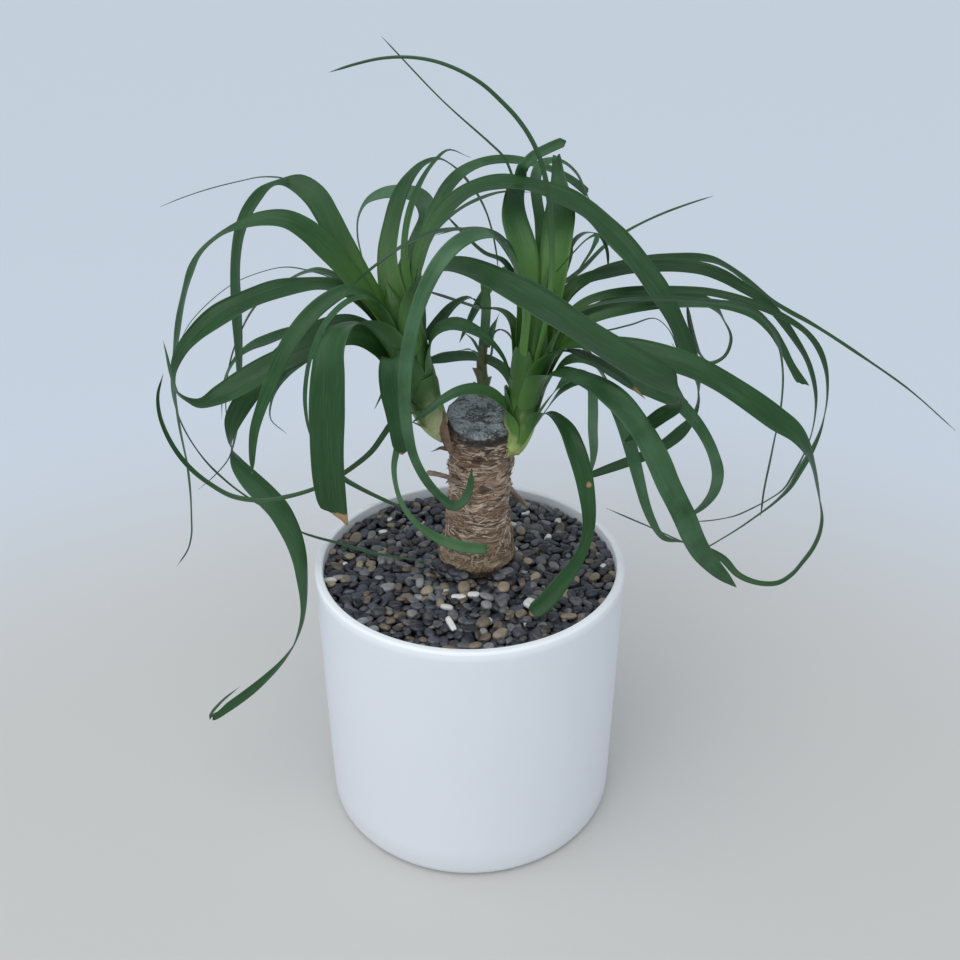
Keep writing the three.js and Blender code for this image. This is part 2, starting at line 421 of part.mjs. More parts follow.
// Leaves of the right shoot
const rightLeaves = [
  // upright leaf that leans back and nods to the right
  [420, [[44, 20, 436, 15, 0], [37, 28, 452, 21, 10], [31, 42, 470, 20, 10], [33, 56, 488, 14, 0],
    [41, 62, 502, 10, 0], [52, 64, 511, 9, -20], [66, 64, 516, 8, -30]]],
  // widest upright leaf, with a cut end
  [424, [[55, 18, 436, 16, 0], [60, 30, 452, 21, 0], [63, 46, 468, 22, 0], [63, 60, 483, 17, 0],
    [62, 68, 495, 10, 0], [61, 72, 505, 8, 0]]],
  // thin arch behind them
  [416, [[50, 34, 438, 8, 0], [50, 56, 462, 8, 0], [47, 76, 488, 8, 0], [54, 88, 497, 7, 0],
    [67, 93, 496, 7, 0], [78, 95, 487, 7, 0], [85, 95, 474, 6, 0]]],
  // straight spear to the upper left, the highest tip
  [414, [[37, 34, 436, 5, 0], [36, 50, 462, 4.5, 0], [32, 64, 486, 3.5, 0], [24, 76, 503, 3, 0],
    [10, 86, 514, 2.6, 0], [-20, 104, 537, 2, 0], [-61, 124, 575, 1.4, 0]]],
  // tall thin arch over to the left
  [412, [[55, -6, 440, 6, 0], [54, -5, 468, 6, 0], [51, -9, 495, 5, 0], [45, -13, 518, 4, 0],
    [35, -18, 537, 3.5, 0], [21, -24, 553, 3, 0], [7, -28, 565, 2.6, 0], [-11, -30, 574, 2.3, 0],
    [-29, -30, 578, 2, 0], [-52, -28, 577, 1.7, 0], [-78, -24, 570, 1.4, 0]]],
  // thin spear to the back right
  [408, [[58, 42, 415, 4, 0], [82, 74, 422, 4, 0], [103, 104, 432, 3.5, 0], [126, 128, 439, 3, 0],
    [154, 148, 446, 2.5, 0], [184, 164, 452, 2, 0], [194, 168, 454, 1.5, 0]]],
  // short leaf at the back right with a hanging tip
  [413, [[63, 26, 433, 6, 0], [73, 50, 449, 7, 0], [84, 66, 452, 7, 0], [95, 76, 447, 6, 0],
    [101, 80, 436, 5, 0], [103, 80, 421, 3, 0]]],
  // leaf that arches to the back left
  [410, [[42, 30, 424, 8, 0], [29, 54, 441, 8, 0], [18, 74, 449, 8, 0], [0, 92, 449, 7, 0],
    [-20, 106, 441, 5, 0]]],
  // long broad leaf to the right whose thin end drops and comes back
  [394, [[62, -20, 400, 14, -20], [76, -36, 407, 17, -30], [97, -48, 409, 18, -40], [121, -56, 406, 18, -45],
    [146, -62, 399, 18, -50], [171, -68, 386, 18, -50], [194, -72, 371, 17, -55], [212, -74, 358, 14, -50],
    [222, -74, 341, 11, -30], [231, -72, 317, 8, -20], [238, -68, 296, 5, 0], [240, -62, 272, 4, 0],
    [234, -54, 246, 4, 0], [226, -46, 227, 4, 0], [211, -36, 220, 4, 0], [198, -26, 222, 5, 0],
    [189, -18, 230, 6, 0], [179, -10, 233, 4, 0]]],
  // farthest leaf to the right
  [402, [[68, 36, 415, 12, -30], [95, 60, 425, 14, -30], [126, 80, 427, 14, -30], [158, 94, 426, 14, -30],
    [187, 102, 421, 14, -30], [213, 106, 405, 13, -30], [239, 104, 386, 11, -30], [268, 94, 372, 9, -30],
    [300, 76, 355, 7, -30], [336, 54, 334, 5, -20], [364, 30, 313, 2, -20]]],
  // leaf to the right that drops and sweeps back inward
  [407, [[66, 24, 425, 12, -30], [92, 40, 429, 15, -40], [121, 52, 431, 15, -40], [151, 58, 430, 15, -45],
    [175, 58, 426, 14, -45], [197, 58, 415, 12, -45], [218, 56, 402, 10, -45], [238, 52, 380, 9, -45],
    [252, 46, 359, 8, -30], [259, 38, 334, 6, -30], [257, 30, 304, 5, 0], [247, 22, 283, 5, 0],
    [238, 16, 269, 4, 0], [220, 8, 261, 4, 0], [196, 0, 254, 3, 0], [170, -6, 254, 2, 0]]],
  // leaf below it that sweeps farther inward
  [398, [[67, 17, 412, 12, -40], [86, 22, 418, 16, -50], [112, 26, 422, 16, -50], [140, 27, 422, 15, -50],
    [168, 26, 421, 13, -50], [192, 22, 416, 11, -50], [212, 18, 409, 9, -40], [233, 12, 398, 8, -30],
    [247, 6, 380, 8, -30], [253, 0, 351, 5, -20], [249, -6, 324, 6, 30], [238, -12, 301, 8, 30],
    [229, -16, 285, 8, 20], [214, -18, 270, 5, 0], [192, -20, 252, 4, 0], [173, -20, 240, 4, 0],
    [156, -18, 245, 4, 0], [134, -14, 254, 4, 0], [105, -8, 265, 1.6, 0]]],
  // leaf below that with a hanging tip
  [390, [[66, 10, 401, 10, -30], [88, 12, 408, 12, -40], [115, 13, 414, 12, -40], [144, 12, 418, 11, -40],
    [178, 8, 417, 10, -40], [198, 4, 410, 9, -40], [211, 0, 397, 9, -40], [220, -4, 382, 9, -40],
    [231, -8, 366, 4, -40]]],
  // narrow leaf in front that hangs straight down
  [400, [[64, -8, 416, 7, -20], [93, -16, 428, 8, -30], [124, -24, 433, 8, -30], [155, -30, 433, 8, -30],
    [180, -34, 430, 7, -30], [196, -36, 416, 6, -30], [206, -36, 392, 6, -30], [210, -34, 363, 5, -30],
    [210, -30, 323, 4, -30], [210, -26, 293, 3, -20], [211, -24, 274, 1.6, 0]]],
  // leaf to the back right that ends in a loop
  [394, [[73, 30, 398, 10, -20], [110, 56, 404, 13, -30], [143, 76, 401, 14, -30], [172, 88, 396, 12, -30],
    [190, 92, 386, 8, -30], [200, 92, 371, 5, 0], [204, 90, 357, 4, 0], [193, 86, 344, 4, 0],
    [180, 80, 352, 5, 0], [170, 74, 372, 5, 0], [163, 68, 394, 3, 0]]],
  // leaf that bows out to the front right and in again
  [384, [[60, -8, 394, 9, -20], [82, -22, 390, 10, -30], [113, -40, 378, 10, -40], [135, -52, 373, 10, -40],
    [149, -58, 360, 9, -40], [161, -60, 340, 9, -40], [167, -58, 318, 10, -50], [163, -54, 299, 10, -50],
    [152, -48, 283, 9, -50]]],
  // broad leaf that runs down to the front right
  [378, [[50, -24, 384, 18, -10], [70, -46, 388, 20, -20], [91, -62, 382, 19, -30], [106, -74, 369, 17, -40],
    [118, -82, 352, 16, -50], [128, -86, 331, 16, -50], [140, -86, 308, 16, -50], [153, -82, 281, 15, -50],
    [168, -76, 260, 11, -50], [182, -70, 244, 6, -50]]],
  // low front leaf that comes down on to the pebbles
  [338, [[41, -18, 343, 6, 0], [50, -28, 353, 9, 0], [61, -42, 356, 12, -20], [69, -54, 345, 14, -40],
    [76, -62, 327, 14, -60], [80, -66, 307, 12, -60], [82, -64, 283, 9, -60], [77, -64, 261, 9, -50],
    [66, -67, 243, 12, -70], [54, -72, 228, 13, -80], [43, -75, 219, 12, -80]]],
  // short strap that hangs on the right
  [370, [[62, -10, 380, 6, 0], [79, -19, 380, 7, -20], [84, -24, 366, 7, -50], [85, -26, 345, 7, -60],
    [87, -26, 326, 6, -60], [87, -24, 309, 3, -60]]],
  // dark leaf under the broad one
  [364, [[60, -2, 372, 9, -20], [80, -8, 372, 10, -30], [99, -22, 358, 10, -40], [109, -32, 336, 10, -50],
    [117, -37, 311, 9, -50], [124, -39, 288, 8, -40], [133, -40, 269, 6, -30], [143, -38, 257, 4, 0],
    [152, -36, 255, 2, 0]]],
  // leaf that arches to the front left and hangs before the trunk
  [408, [[38, -8, 431, 10, 20], [26, -13, 461, 12, 30], [14, -24, 475, 12, 40], [2, -36, 477, 12, 50],
    [-10, -46, 472, 13, 60], [-21, -54, 459, 13, 60], [-30, -60, 440, 12, 60], [-36, -62, 418, 12, 60],
    [-40, -62, 391, 12, 60], [-40, -60, 363, 11, 60], [-37, -56, 338, 9, 60], [-30, -50, 316, 9, 60],
    [-20, -44, 298, 9, 60], [-10, -39, 288, 8, 40], [-3, -37, 294, 6, 20], [1, -38, 314, 3, 0]]],
  // short leaf with a withered end
  [388, [[56, -16, 396, 9, -10], [71, -31, 399, 11, -10], [86, -45, 396, 12, -10], [98, -53, 391, 10, -10],
    [108, -57, 383, 5, -10]]],
  // leaf to the back left, between the shoots
  [398, [[38, 22, 400, 8, 0], [25, 32, 406, 9, 0], [8, 42, 404, 10, 0], [-8, 51, 406, 10, 0],
    [-27, 58, 410, 7, 0]]],
  // low leaf across the front of the sawn face
  [340, [[27, -8, 353, 9, 30], [18, -10, 360, 11, 40], [4, -13, 365, 10, 50], [-9, -17, 364, 8, 50],
    [-21, -21, 358, 6, 50], [-30, -25, 352, 5, 50], [-38, -28, 347, 2, 50]]],
  // low leaf across the back
  [342, [[34, 30, 353, 7, 0], [22, 46, 358, 9, 10], [8, 57, 360, 10, 20], [-11, 59, 360, 11, 30],
    [-30, 55, 358, 9, 30]]],
  // leaf that arches straight back
  [396, [[47, 36, 408, 10, 0], [43, 68, 418, 14, 0], [35, 100, 416, 14, 0], [22, 124, 400, 12, 0],
    [7, 140, 374, 9, 0], [-8, 149, 340, 3, 0]]],
  // leaf that droops to the back right
  [382, [[66, 34, 388, 10, 0], [81, 52, 374, 13, -10], [95, 66, 352, 13, -20], [113, 80, 324, 12, -30],
    [134, 90, 294, 10, -30], [152, 96, 262, 8, -30], [167, 98, 231, 3, -30]]],
];

// Leaves of the small back shoot
const backLeaves = [
  [368, [[12, 54, 392, 7, 0], [12, 58, 409, 7, 0], [9, 58, 422, 3, 0]]],
  [362, [[19, 46, 386, 6, 0], [28, 42, 385, 6, 0], [35, 38, 373, 3, 0]]],
];

// The whole plant in its pot
const palm = new THREE.Group();

function addPiece(name, geometry, color, roughness) {
  const material = new THREE.MeshStandardMaterial({ color, roughness, metalness: 0 });
  const mesh = new THREE.Mesh(geometry, material);
  mesh.name = name;
  palm.add(mesh);
}

addPiece('pot', potGeometry(), 0xf4f4f2, 0.35);
addPiece('potting_soil', soilGeometry(), 0x3b2a1e, 0.95);
addPiece('pebble_bed', pebbleGeometry(), 0x55504d, 0.85);
addPiece('trunk', trunkGeometry(0), 0x9b7f66, 0.9);
for (const shoot of [leftShoot, rightShoot, backShoot]) {
  addPiece(shoot.name, shootGeometry(shoot), shoot.color, 0.6);
}
for (const [prefix, shoot, leaves] of [
  ['left_leaf', leftShoot, leftLeaves],
  ['right_leaf', rightShoot, rightLeaves],
  ['back_leaf', backShoot, backLeaves],
]) {
  leaves.forEach(([seat, rows], index) => {
    const number = String(index + 1).padStart(2, '0');
    addPiece(`${prefix}_${number}`, bladeGeometry(shoot, seat, rows), 0x3f6b3c, 0.5);
  });
}

export default palm;
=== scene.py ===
import math

import bmesh
import bpy
import numpy as np
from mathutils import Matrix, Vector
from mathutils.bvhtree import BVHTree


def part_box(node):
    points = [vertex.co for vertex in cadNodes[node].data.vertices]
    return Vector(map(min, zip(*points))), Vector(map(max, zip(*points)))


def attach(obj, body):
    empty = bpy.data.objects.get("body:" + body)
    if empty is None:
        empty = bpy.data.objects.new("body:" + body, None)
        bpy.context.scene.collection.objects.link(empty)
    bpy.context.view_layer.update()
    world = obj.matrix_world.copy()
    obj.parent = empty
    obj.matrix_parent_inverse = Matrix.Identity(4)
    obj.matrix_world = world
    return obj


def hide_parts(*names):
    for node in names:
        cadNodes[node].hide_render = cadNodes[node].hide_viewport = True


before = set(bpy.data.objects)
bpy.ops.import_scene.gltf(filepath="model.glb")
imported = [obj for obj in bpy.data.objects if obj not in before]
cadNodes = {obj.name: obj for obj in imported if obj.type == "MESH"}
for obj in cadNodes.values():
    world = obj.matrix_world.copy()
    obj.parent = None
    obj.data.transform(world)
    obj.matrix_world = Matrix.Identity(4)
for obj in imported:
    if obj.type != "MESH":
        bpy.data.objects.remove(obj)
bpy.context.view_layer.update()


# arithmetic on shader sockets

class Signal:
    def __init__(self, shader, socket):
        self.shader = shader
        self.socket = socket

    def __add__(self, other):
        return self.shader.maths("ADD", self, other)

    def __radd__(self, other):
        return self.shader.maths("ADD", other, self)

    def __sub__(self, other):
        return self.shader.maths("SUBTRACT", self, other)

    def __rsub__(self, other):
        return self.shader.maths("SUBTRACT", other, self)

    def __mul__(self, other):
        return self.shader.maths("MULTIPLY", self, other)

    def __rmul__(self, other):
        return self.shader.maths("MULTIPLY", other, self)

    def fade(self, start, end):  # smooth step from 0 at start to 1 at end
        return self.shader.node("MapRange", {"interpolation_type": "SMOOTHSTEP"},
                                {"Value": self, "From Min": start, "From Max": end})

    def part(self, axis):
        return self.shader.node("SeparateXYZ", {}, {0: self}, axis)

    def stretch(self, scale):
        return self.shader.node("VectorMath", {"operation": "MULTIPLY"}, {0: self, 1: scale})

    def noise(self, scale, detail=3.0, roughness=0.55, distortion=0.0):
        return self.shader.node("TexNoise", {}, {"Vector": self, "Scale": scale, "Detail": detail,
                                                 "Roughness": roughness, "Distortion": distortion})


class Shader:
    def __init__(self, name):
        self.material = bpy.data.materials.new(name)
        self.material.use_nodes = True
        self.tree = self.material.node_tree
        self.tree.nodes.clear()

    def node(self, kind, settings, inputs, output=0):
        made = self.tree.nodes.new("ShaderNode" + kind)
        for key, setting in settings.items():
            setattr(made, key, setting)
        for key, given in inputs.items():
            if isinstance(given, Signal):
                self.tree.links.new(given.socket, made.inputs[key])
            else:
                made.inputs[key].default_value = given
        return Signal(self, made.outputs[output] if made.outputs else None)

    def maths(self, operation, first, second=0.0):
        return self.node("Math", {"operation": operation}, {0: first, 1: second})

    def blend(self, factor, first, second):
        return self.node("Mix", {"data_type": "RGBA"}, {0: factor, 6: first, 7: second}, 2)

    def coats(self, colour, *coats):  # each coat is how much of it shows and its colour
        for factor, coat in coats:
            colour = self.blend(factor, colour, coat)
        return colour

    def place(self):
        return self.node("TexCoord", {}, {}, "Object")

    def attribute(self, name):
        return self.node("Attribute", {"attribute_name": name}, {}, "Fac")

    def layer(self, name):
        return self.node("UVMap", {"uv_map": name}, {})

    def surface(self, colour, roughness, height=None, depth=0.0, constants=None):
        inputs = {"Base Color": colour, "Roughness": roughness}
        inputs.update(constants or {})
        if height is not None:
            inputs["Normal"] = self.node("Bump", {}, {"Height": height, "Distance": depth, "Strength": 1.0})
        shade = self.node("BsdfPrincipled", {}, inputs)
        self.node("OutputMaterial", {}, {"Surface": shade})
        return self.material


def tint(red, green, blue):
    return (red, green, blue, 1.0)


# objects, curves and meshes

def addObject(name, data, location=(0, 0, 0), rotation=(0, 0, 0)):
    made = bpy.data.objects.new(name, data)
    made.location = location
    made.rotation_euler = rotation
    bpy.context.scene.collection.objects.link(made)
    return made


def addPiece(name, points, faces, material, standsFor, uvLayers=None, attributes=None):
    mesh = bpy.data.meshes.new(name)
    mesh.from_pydata([tuple(point) for point in points], [], faces)
    for label, corners in (uvLayers or {}).items():
        layer = mesh.uv_layers.new(name=label)
        layer.data.foreach_set("uv", np.asarray(corners, float).ravel())
    for label, values in (attributes or {}).items():
        stored = mesh.attributes.new(label, "FLOAT", "POINT")
        stored.data.foreach_set("value", np.asarray(values, float))
    mesh.polygons.foreach_set("use_smooth", [True] * len(mesh.polygons))
    mesh.update()
    mesh.materials.append(material)
    piece = addObject(name, mesh)
    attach(piece, "root")
    if standsFor:
        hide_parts(*standsFor)


def unit(rows):
    return rows / np.maximum(np.linalg.norm(rows, axis=-1, keepdims=True), 1e-12)


def distances(rows):  # how far along its line each row lies
    steps = np.linalg.norm(np.diff(rows[:, :3], axis=0), axis=1)
    return np.concatenate([[0], np.cumsum(steps)])


def between(t, start, end, first, second):
    return (end - t) / (end - start) * first + (t - start) / (end - start) * second


def smoothCurve(rows, count, perGap=24):  # evenly spaced points on a Catmull-Rom curve through rows
    rows = np.asarray(rows, float)
    knots = np.vstack([2 * rows[0] - rows[1], rows, 2 * rows[-1] - rows[-2]])
    gaps = np.sqrt(np.linalg.norm(np.diff(knots[:, :3], axis=0), axis=1)) + 1e-9
    times = np.concatenate([[0], np.cumsum(gaps)])
    dense = []
    for index in range(1, len(knots) - 2):
        t0, t1, t2, t3 = times[index - 1:index + 3]
        p0, p1, p2, p3 = knots[index - 1:index + 3]
        for t in np.linspace(t1, t2, perGap, endpoint=False):
            lower = between(t, t0, t1, p0, p1)
            inner = between(t, t1, t2, p1, p2)
            upper = between(t, t2, t3, p2, p3)
            lower = between(t, t0, t2, lower, inner)
            upper = between(t, t1, t3, inner, upper)
            dense.append(between(t, t1, t2, lower, upper))
    dense = np.array(dense + [rows[-1]])
    travelled = distances(dense)
    wanted = np.linspace(0, travelled[-1], count)
    return np.column_stack([np.interp(wanted, travelled, column) for column in dense.T]), wanted


def framesAlong(points, up):  # heading, side and front at each point of a line
    heading = unit(np.gradient(points, axis=0))
    side = unit(np.cross(heading, up))
    return heading, side, np.cross(heading, side)


def ringAt(centre, side, front, angles, radius, flatness=1.0):
    ring = centre + np.outer(np.cos(angles) * radius, side)
    return ring + np.outer(np.sin(angles) * radius * flatness, front)


def ringFaces(rings, sides, start=0):
    faces = []
    for here in range(start, start + (rings - 1) * sides, sides):
        for side in range(sides):
            after = (side + 1) % sides
            faces.append((here + side, here + after, here + sides + after, here + sides + side))
    return faces


def fanFaces(start, sides, centre):  # joins a ring to the point in its middle
    return [(start + side, start + (side + 1) % sides, centre) for side in range(sides)]


def tubeFaces(rings, sides, start):  # a tube with one flat face at each end
    last = start + (rings - 1) * sides
    faces = ringFaces(rings, sides, start)
    faces.append(tuple(range(start + sides - 1, start - 1, -1)))
    faces.append(tuple(range(last, last + sides)))
    return faces


def latticeNoise(seed, around, along, cellsAround, cellsAlong):  # wraps round the first direction
    grid = np.random.default_rng(seed).uniform(-1, 1, (cellsAlong + 2, cellsAround))
    x = around * cellsAround
    y = np.clip(along, 0, 1) * cellsAlong
    column = np.floor(x).astype(int)
    row = np.floor(y).astype(int)
    shareX = step(x - column, 0, 1)
    shareY = step(y - row, 0, 1)
    column = column % cellsAround
    beside = (column + 1) % cellsAround
    lower = grid[row, column] * (1 - shareX) + grid[row, beside] * shareX
    upper = grid[row + 1, column] * (1 - shareX) + grid[row + 1, beside] * shareX
    return lower * (1 - shareY) + upper * shareY


def layered(rows, around, along):  # rows of seed, cells around, cells along and size
    return sum(latticeNoise(seed, around, along, *cells) * size for seed, *cells, size in rows)


def step(values, start, end):
    share = np.clip((values - start) / (end - start), 0, 1)
    return share * share * (3 - 2 * share)


# pot: a satin white cylinder with a soft lip

potLook = {
    "wall": 0.0062,
    "lip": 0.0024,
    "innerLip": 0.7,  # the lip's inner edge is that much tighter
    "shoulder": 0.004,  # the straight side ends this far under the top
    "draft": 0.0025,  # how much the inside narrows on its way down
    "foot": 0.008,
    "footRadius": 0.1175,
    "underside": (0.0, 0.045, 0.090),  # radii of its rings
    "floor": 0.010,
    "sides": 192,
    "colour": tint(0.825, 0.855, 0.910),
    "shade": tint(0.785, 0.815, 0.870),
    # painted light: lighter towards the top, brightening the shaded inside wall above the stones
    "rim": tint(0.93, 0.955, 0.985),
    # greyer towards the foot and in random marks
    "greying": tint(0.60, 0.60, 0.585),
    # levels over which the painted light fades in
    "paintedLightFrom": (0.2100, 0.2160),
    "roughness": 0.33,
}


def arc(centreRadius, centreHeight, radius, start, end, steps):
    points = []
    for angle in np.radians(np.linspace(start, end, steps)):
        points.append((centreRadius + radius * math.cos(angle), centreHeight + radius * math.sin(angle)))
    return points


def potProfile(look, outer, height):  # radius and level, from under the pot up and in again
    foot = look["foot"]
    footRadius = look["footRadius"]
    floor = look["floor"]
    inner = outer - look["wall"]
    lip = look["lip"]
    innerLip = lip * look["innerLip"]
    profile = [(radius, 0.0) for radius in look["underside"]]
    profile += arc(footRadius - foot, foot, foot, -90, 0, 10)
    for share in np.linspace(0.06, 0.94, 16):
        profile.append((footRadius + (outer - footRadius) * share,
                        foot + (height - look["shoulder"] - foot) * share))
    profile += arc(outer - lip, height - lip, lip, 0, 90, 8)
    profile += arc(inner + innerLip, height - innerLip, innerLip, 90, 180, 6)
    for share in np.linspace(0.1, 0.9, 9):
        profile.append((inner - look["draft"] * share, (height - lip) * (1 - share) + 0.02 * share))
    return profile + [(inner - 0.008, floor + 0.001), (0.05, floor), (0.0, floor)]


def potShader(look):
    shader = Shader("pot_white")
    place = shader.place()
    level = place.part(2)
    cloud = place.noise(14.0, 4.0)
    grain = place.noise(620.0, 2.0)
    ripple = place.stretch((1, 1, 0.45)).noise(26.0, 2.0)
    mark = place.noise(38.0, 5.0, 0.7).fade(0.62, 0.78)
    colour = shader.coats(look["colour"], (cloud, look["shade"]),
                          # painted light: lighter towards the top, brightening the shaded inside wall above
                          # the stones
                          (level.fade(*look["paintedLightFrom"]), look["rim"]),
                          # greyer towards the foot and in random marks
                          (level.fade(0.030, 0.0) * 0.35 + mark * 0.10, look["greying"]))
    rough = look["roughness"] + 0.10 * cloud + 0.06 * grain
    return shader.surface(colour, rough, ripple * 0.8 + grain * 0.05, 0.0006)


def buildPot(look):
    low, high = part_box("pot")
    profile = potProfile(look, (high[0] - low[0]) / 2, high[2])
    sides = look["sides"]
    rings = len(profile) - 2
    angles = np.arange(sides) / sides * math.tau
    points = [(0.0, 0.0, profile[0][1])]
    for radius, level in profile[1:-1]:
        points += [(radius * math.cos(angle), radius * math.sin(angle), level) for angle in angles]
    points.append((0.0, 0.0, profile[-1][1]))
    faces = ringFaces(rings, sides, 1)
    faces += [face[::-1] for face in fanFaces(1, sides, 0)]
    faces += fanFaces(1 + (rings - 1) * sides, sides, len(points) - 1)
    addPiece("pot_shell", points, faces, potShader(look), ["pot"])


buildPot(potLook)
print("pot built")


# soil under the stones

def dressSoil():
    shader = Shader("soil_dark")
    place = shader.place()
    clods = place.noise(160.0, 5.0, 0.7)
    patches = place.noise(35.0, 3.0)
    colour = shader.coats(tint(0.018, 0.012, 0.008), (clods, tint(0.075, 0.050, 0.032)),
                          (patches * 0.4, tint(0.035, 0.026, 0.020)))
    material = shader.surface(colour, 0.82 + 0.14 * clods, clods, 0.003)
    soil = cadNodes["potting_soil"]
    for slotted in soil.material_slots:
        slotted.material = material


dressSoil()
print("soil dressed")


# loose stones

pebbleLook = {
    "seed": 7,
    "bedTop": 0.2045,  # stones lie on this level
    "surface": 0.2125,  # and their tops stay near this one
    "pile": 0.2200,  # middles of the stones laid on top stay under this
    "inner": 0.0222,
    "outer": 0.1130,
    "trunk": (0.004, 0.014),
    "dropped": 1250,
    "tries": 9000,
    "places": 7,  # tried for each stone, which falls on the lowest
    "wide": (0.62, 0.92),  # share of the length
    "thick": (0.8, 1.25),
    "thinnest": 0.0011,
    "rest": (0.55, 0.45),  # a stone rests between the highest and the mean level under it
    "rise": (0.72, 1.15),  # share of its thickness up to its middle and its top
    "roundness": (0.78, 0.98),  # 1 is a smooth egg, less is boxier
    "whiteRoundness": 0.7,
    "bumps": (0.055, 1.5),  # depth and number
    "lean": 0.24,
    "warmth": 0.45,
    "placedThick": 0.62,
    "placedLean": 0.10,
    "cell": 0.0006,  # of the grid that holds the heap's levels
    "margin": 0.004,  # of that grid round the bed
    "brownZone": (-0.015, 0.060, 0.072),  # dark stones at lower y and smaller x turn brown this often
    "grit": (26, 120, 0.97, 0.0004),  # rings, sides, share of the inner radius, unevenness
    "kinds": (
        # name, share, smallest and largest half length, thickness, dark colour, light colour
        ("dark", 0.69, 0.0034, 0.0074, 0.58, tint(0.005, 0.006, 0.009), tint(0.082, 0.090, 0.118)),
        ("grey", 0.20, 0.0032, 0.0068, 0.58, tint(0.060, 0.065, 0.078), tint(0.290, 0.292, 0.295)),
        ("brown", 0.105, 0.0032, 0.0066, 0.57, tint(0.085, 0.062, 0.045), tint(0.370, 0.300, 0.210)),
        ("white", 0.005, 0.0020, 0.0040, 0.40, tint(0.62, 0.61, 0.57), tint(0.85, 0.84, 0.80)),
    ),
    "placed": (
        # stones laid on top: kind, x, y, half length and half width in millimetres, turn in degrees, tone
        ("white", -105, -20.6, 5, 2.6, 8, 0.8), ("white", -18.2, -33.7, 4.6, 2, 55, 0.7),
        ("white", -8.4, -42.6, 5.6, 2.6, -10, 0.9), ("white", 2.6, -40.1, 4.6, 2.5, 5, 1),
        ("white", -16.1, -57.5, 5, 2.8, -20, 0.8), ("white", -12.7, -77.7, 7.8, 2.3, 112, 1),
        ("white", 12.8, -70.7, 4.8, 3.4, 30, 0.6), ("white", 44.1, -55, 5, 4.2, 60, 0.9),
        ("white", 85.6, 72.3, 3.6, 2.2, -20, 0.8), ("white", -71.3, 48.4, 3.4, 2.4, 10, 0.7),
        ("white", 34.2, 57.8, 3.6, 2.6, -30, 0.8), ("white", 45.6, 75.5, 3.2, 2.2, 0, 0.7),
        ("brown", -4.1, -33.7, 5.6, 4.8, 90, 0.85), ("brown", 25.7, -33.7, 6, 4.2, 80, 0.95),
        ("brown", 22.4, -86.9, 6.2, 4.6, 50, 0.9), ("brown", 19.8, -78.9, 7.2, 3.6, 78, 0.35),
        ("brown", 70.6, -68.3, 6, 3.6, 8, 0.8), ("brown", 49.5, -17.9, 4.8, 3.4, 35, 0.95),
        ("brown", 41.1, 45.3, 5.6, 3.8, 90, 0.8), ("brown", -93.9, 9.7, 5, 3.6, 5, 0.95),
        ("grey", -60.7, -32.4, 6.4, 4.6, 25, 1), ("dark", -25, -1, 5.5, 4.2, 70, 0.3),
        ("dark", -20.5, -12.5, 6, 4.6, 130, 0.6), ("grey", -14, -17.8, 4.8, 4, 20, 0.4),
        ("dark", -7.5, -21.5, 5.6, 4, 160, 0.8), ("grey", 23, -20, 5, 3.8, 40, 0.5),
        ("dark", 31.2, -13.5, 6, 4.6, 60, 0.5), ("brown", 35.2, -3, 5, 4, 80, 0.3),
        ("dark", 37, 9, 5.6, 4.2, 100, 0.7), ("dark", -23.2, -4.5, 5.6, 4.6, 100, 0.5),
        ("dark", -17.8, -13.5, 6, 4.6, 30, 0.2), ("dark", -10.8, -19, 5.6, 4.4, 150, 0.7),
        ("grey", -4, -22.5, 4.6, 3.6, 80, 0.3), ("grey", 28.5, -15, 5.2, 4, 20, 0.6),
        ("dark", 33.5, -7.5, 5.6, 4.4, 70, 0.6), ("dark", 35.2, 3, 5, 4, 90, 0.4),
    ),
}


def icoShape(subdivisions):
    ball = bmesh.new()
    bmesh.ops.create_icosphere(ball, subdivisions=subdivisions, radius=1.0)
    points = np.array([vertex.co[:] for vertex in ball.verts])
    faces = [tuple(vertex.index for vertex in face.verts) for face in ball.faces]
    ball.free()
    return points, faces


def pebbleShader(name, dark, light):
    shader = Shader("stone_" + name)
    place = shader.place()
    own = shader.attribute("stoneTone")
    warm = shader.attribute("stoneWarmth")
    mottle = place.noise(240.0, 4.0, 0.65)
    grain = place.noise(1500.0, 3.0, 0.6)
    fleck = grain.fade(0.60, 0.74) * own.fade(0.2, 0.9)
    colour = shader.coats(dark, (own * own * own * 0.85 + mottle.fade(0.32, 0.72) * 0.40, light),
                          (warm * 0.35, tint(0.125, 0.085, 0.060)),
                          (fleck * 0.35, tint(0.33, 0.33, 0.34)),
                          (grain.fade(0.42, 0.30) * 0.4, tint(0.015, 0.015, 0.018)))
    rough = 0.20 + 0.34 * mottle - 0.05 * own
    return shader.surface(colour, rough, grain * 0.4 + mottle, 0.00030)


def groundAt(ground, look, x, y, half):  # the heap's levels round a spot
    reach = look["outer"] + look["margin"]
    column = int((x + reach) / look["cell"])
    row = int((y + reach) / look["cell"])
    return ground[row - half:row + half + 1, column - half:column + half + 1]


def layStone(ground, look, stone):  # raises the heap's levels under it
    _, x, y, height, (long, wide, thick), turn, *_ = stone
    cell = look["cell"]
    half = int(long * 1.05 / cell)
    rows, columns = np.mgrid[-half:half + 1, -half:half + 1]
    across = (columns * math.cos(turn) + rows * math.sin(turn)) * cell / long
    beside = (rows * math.cos(turn) - columns * math.sin(turn)) * cell / wide
    dome = 1 - across ** 2 - beside ** 2
    tops = np.where(dome > 0, height + thick * np.sqrt(np.clip(dome, 0, 1)), 0)
    area = groundAt(ground, look, x, y, half)
    np.maximum(area, tops[:area.shape[0], :area.shape[1]], out=area)
    return stone


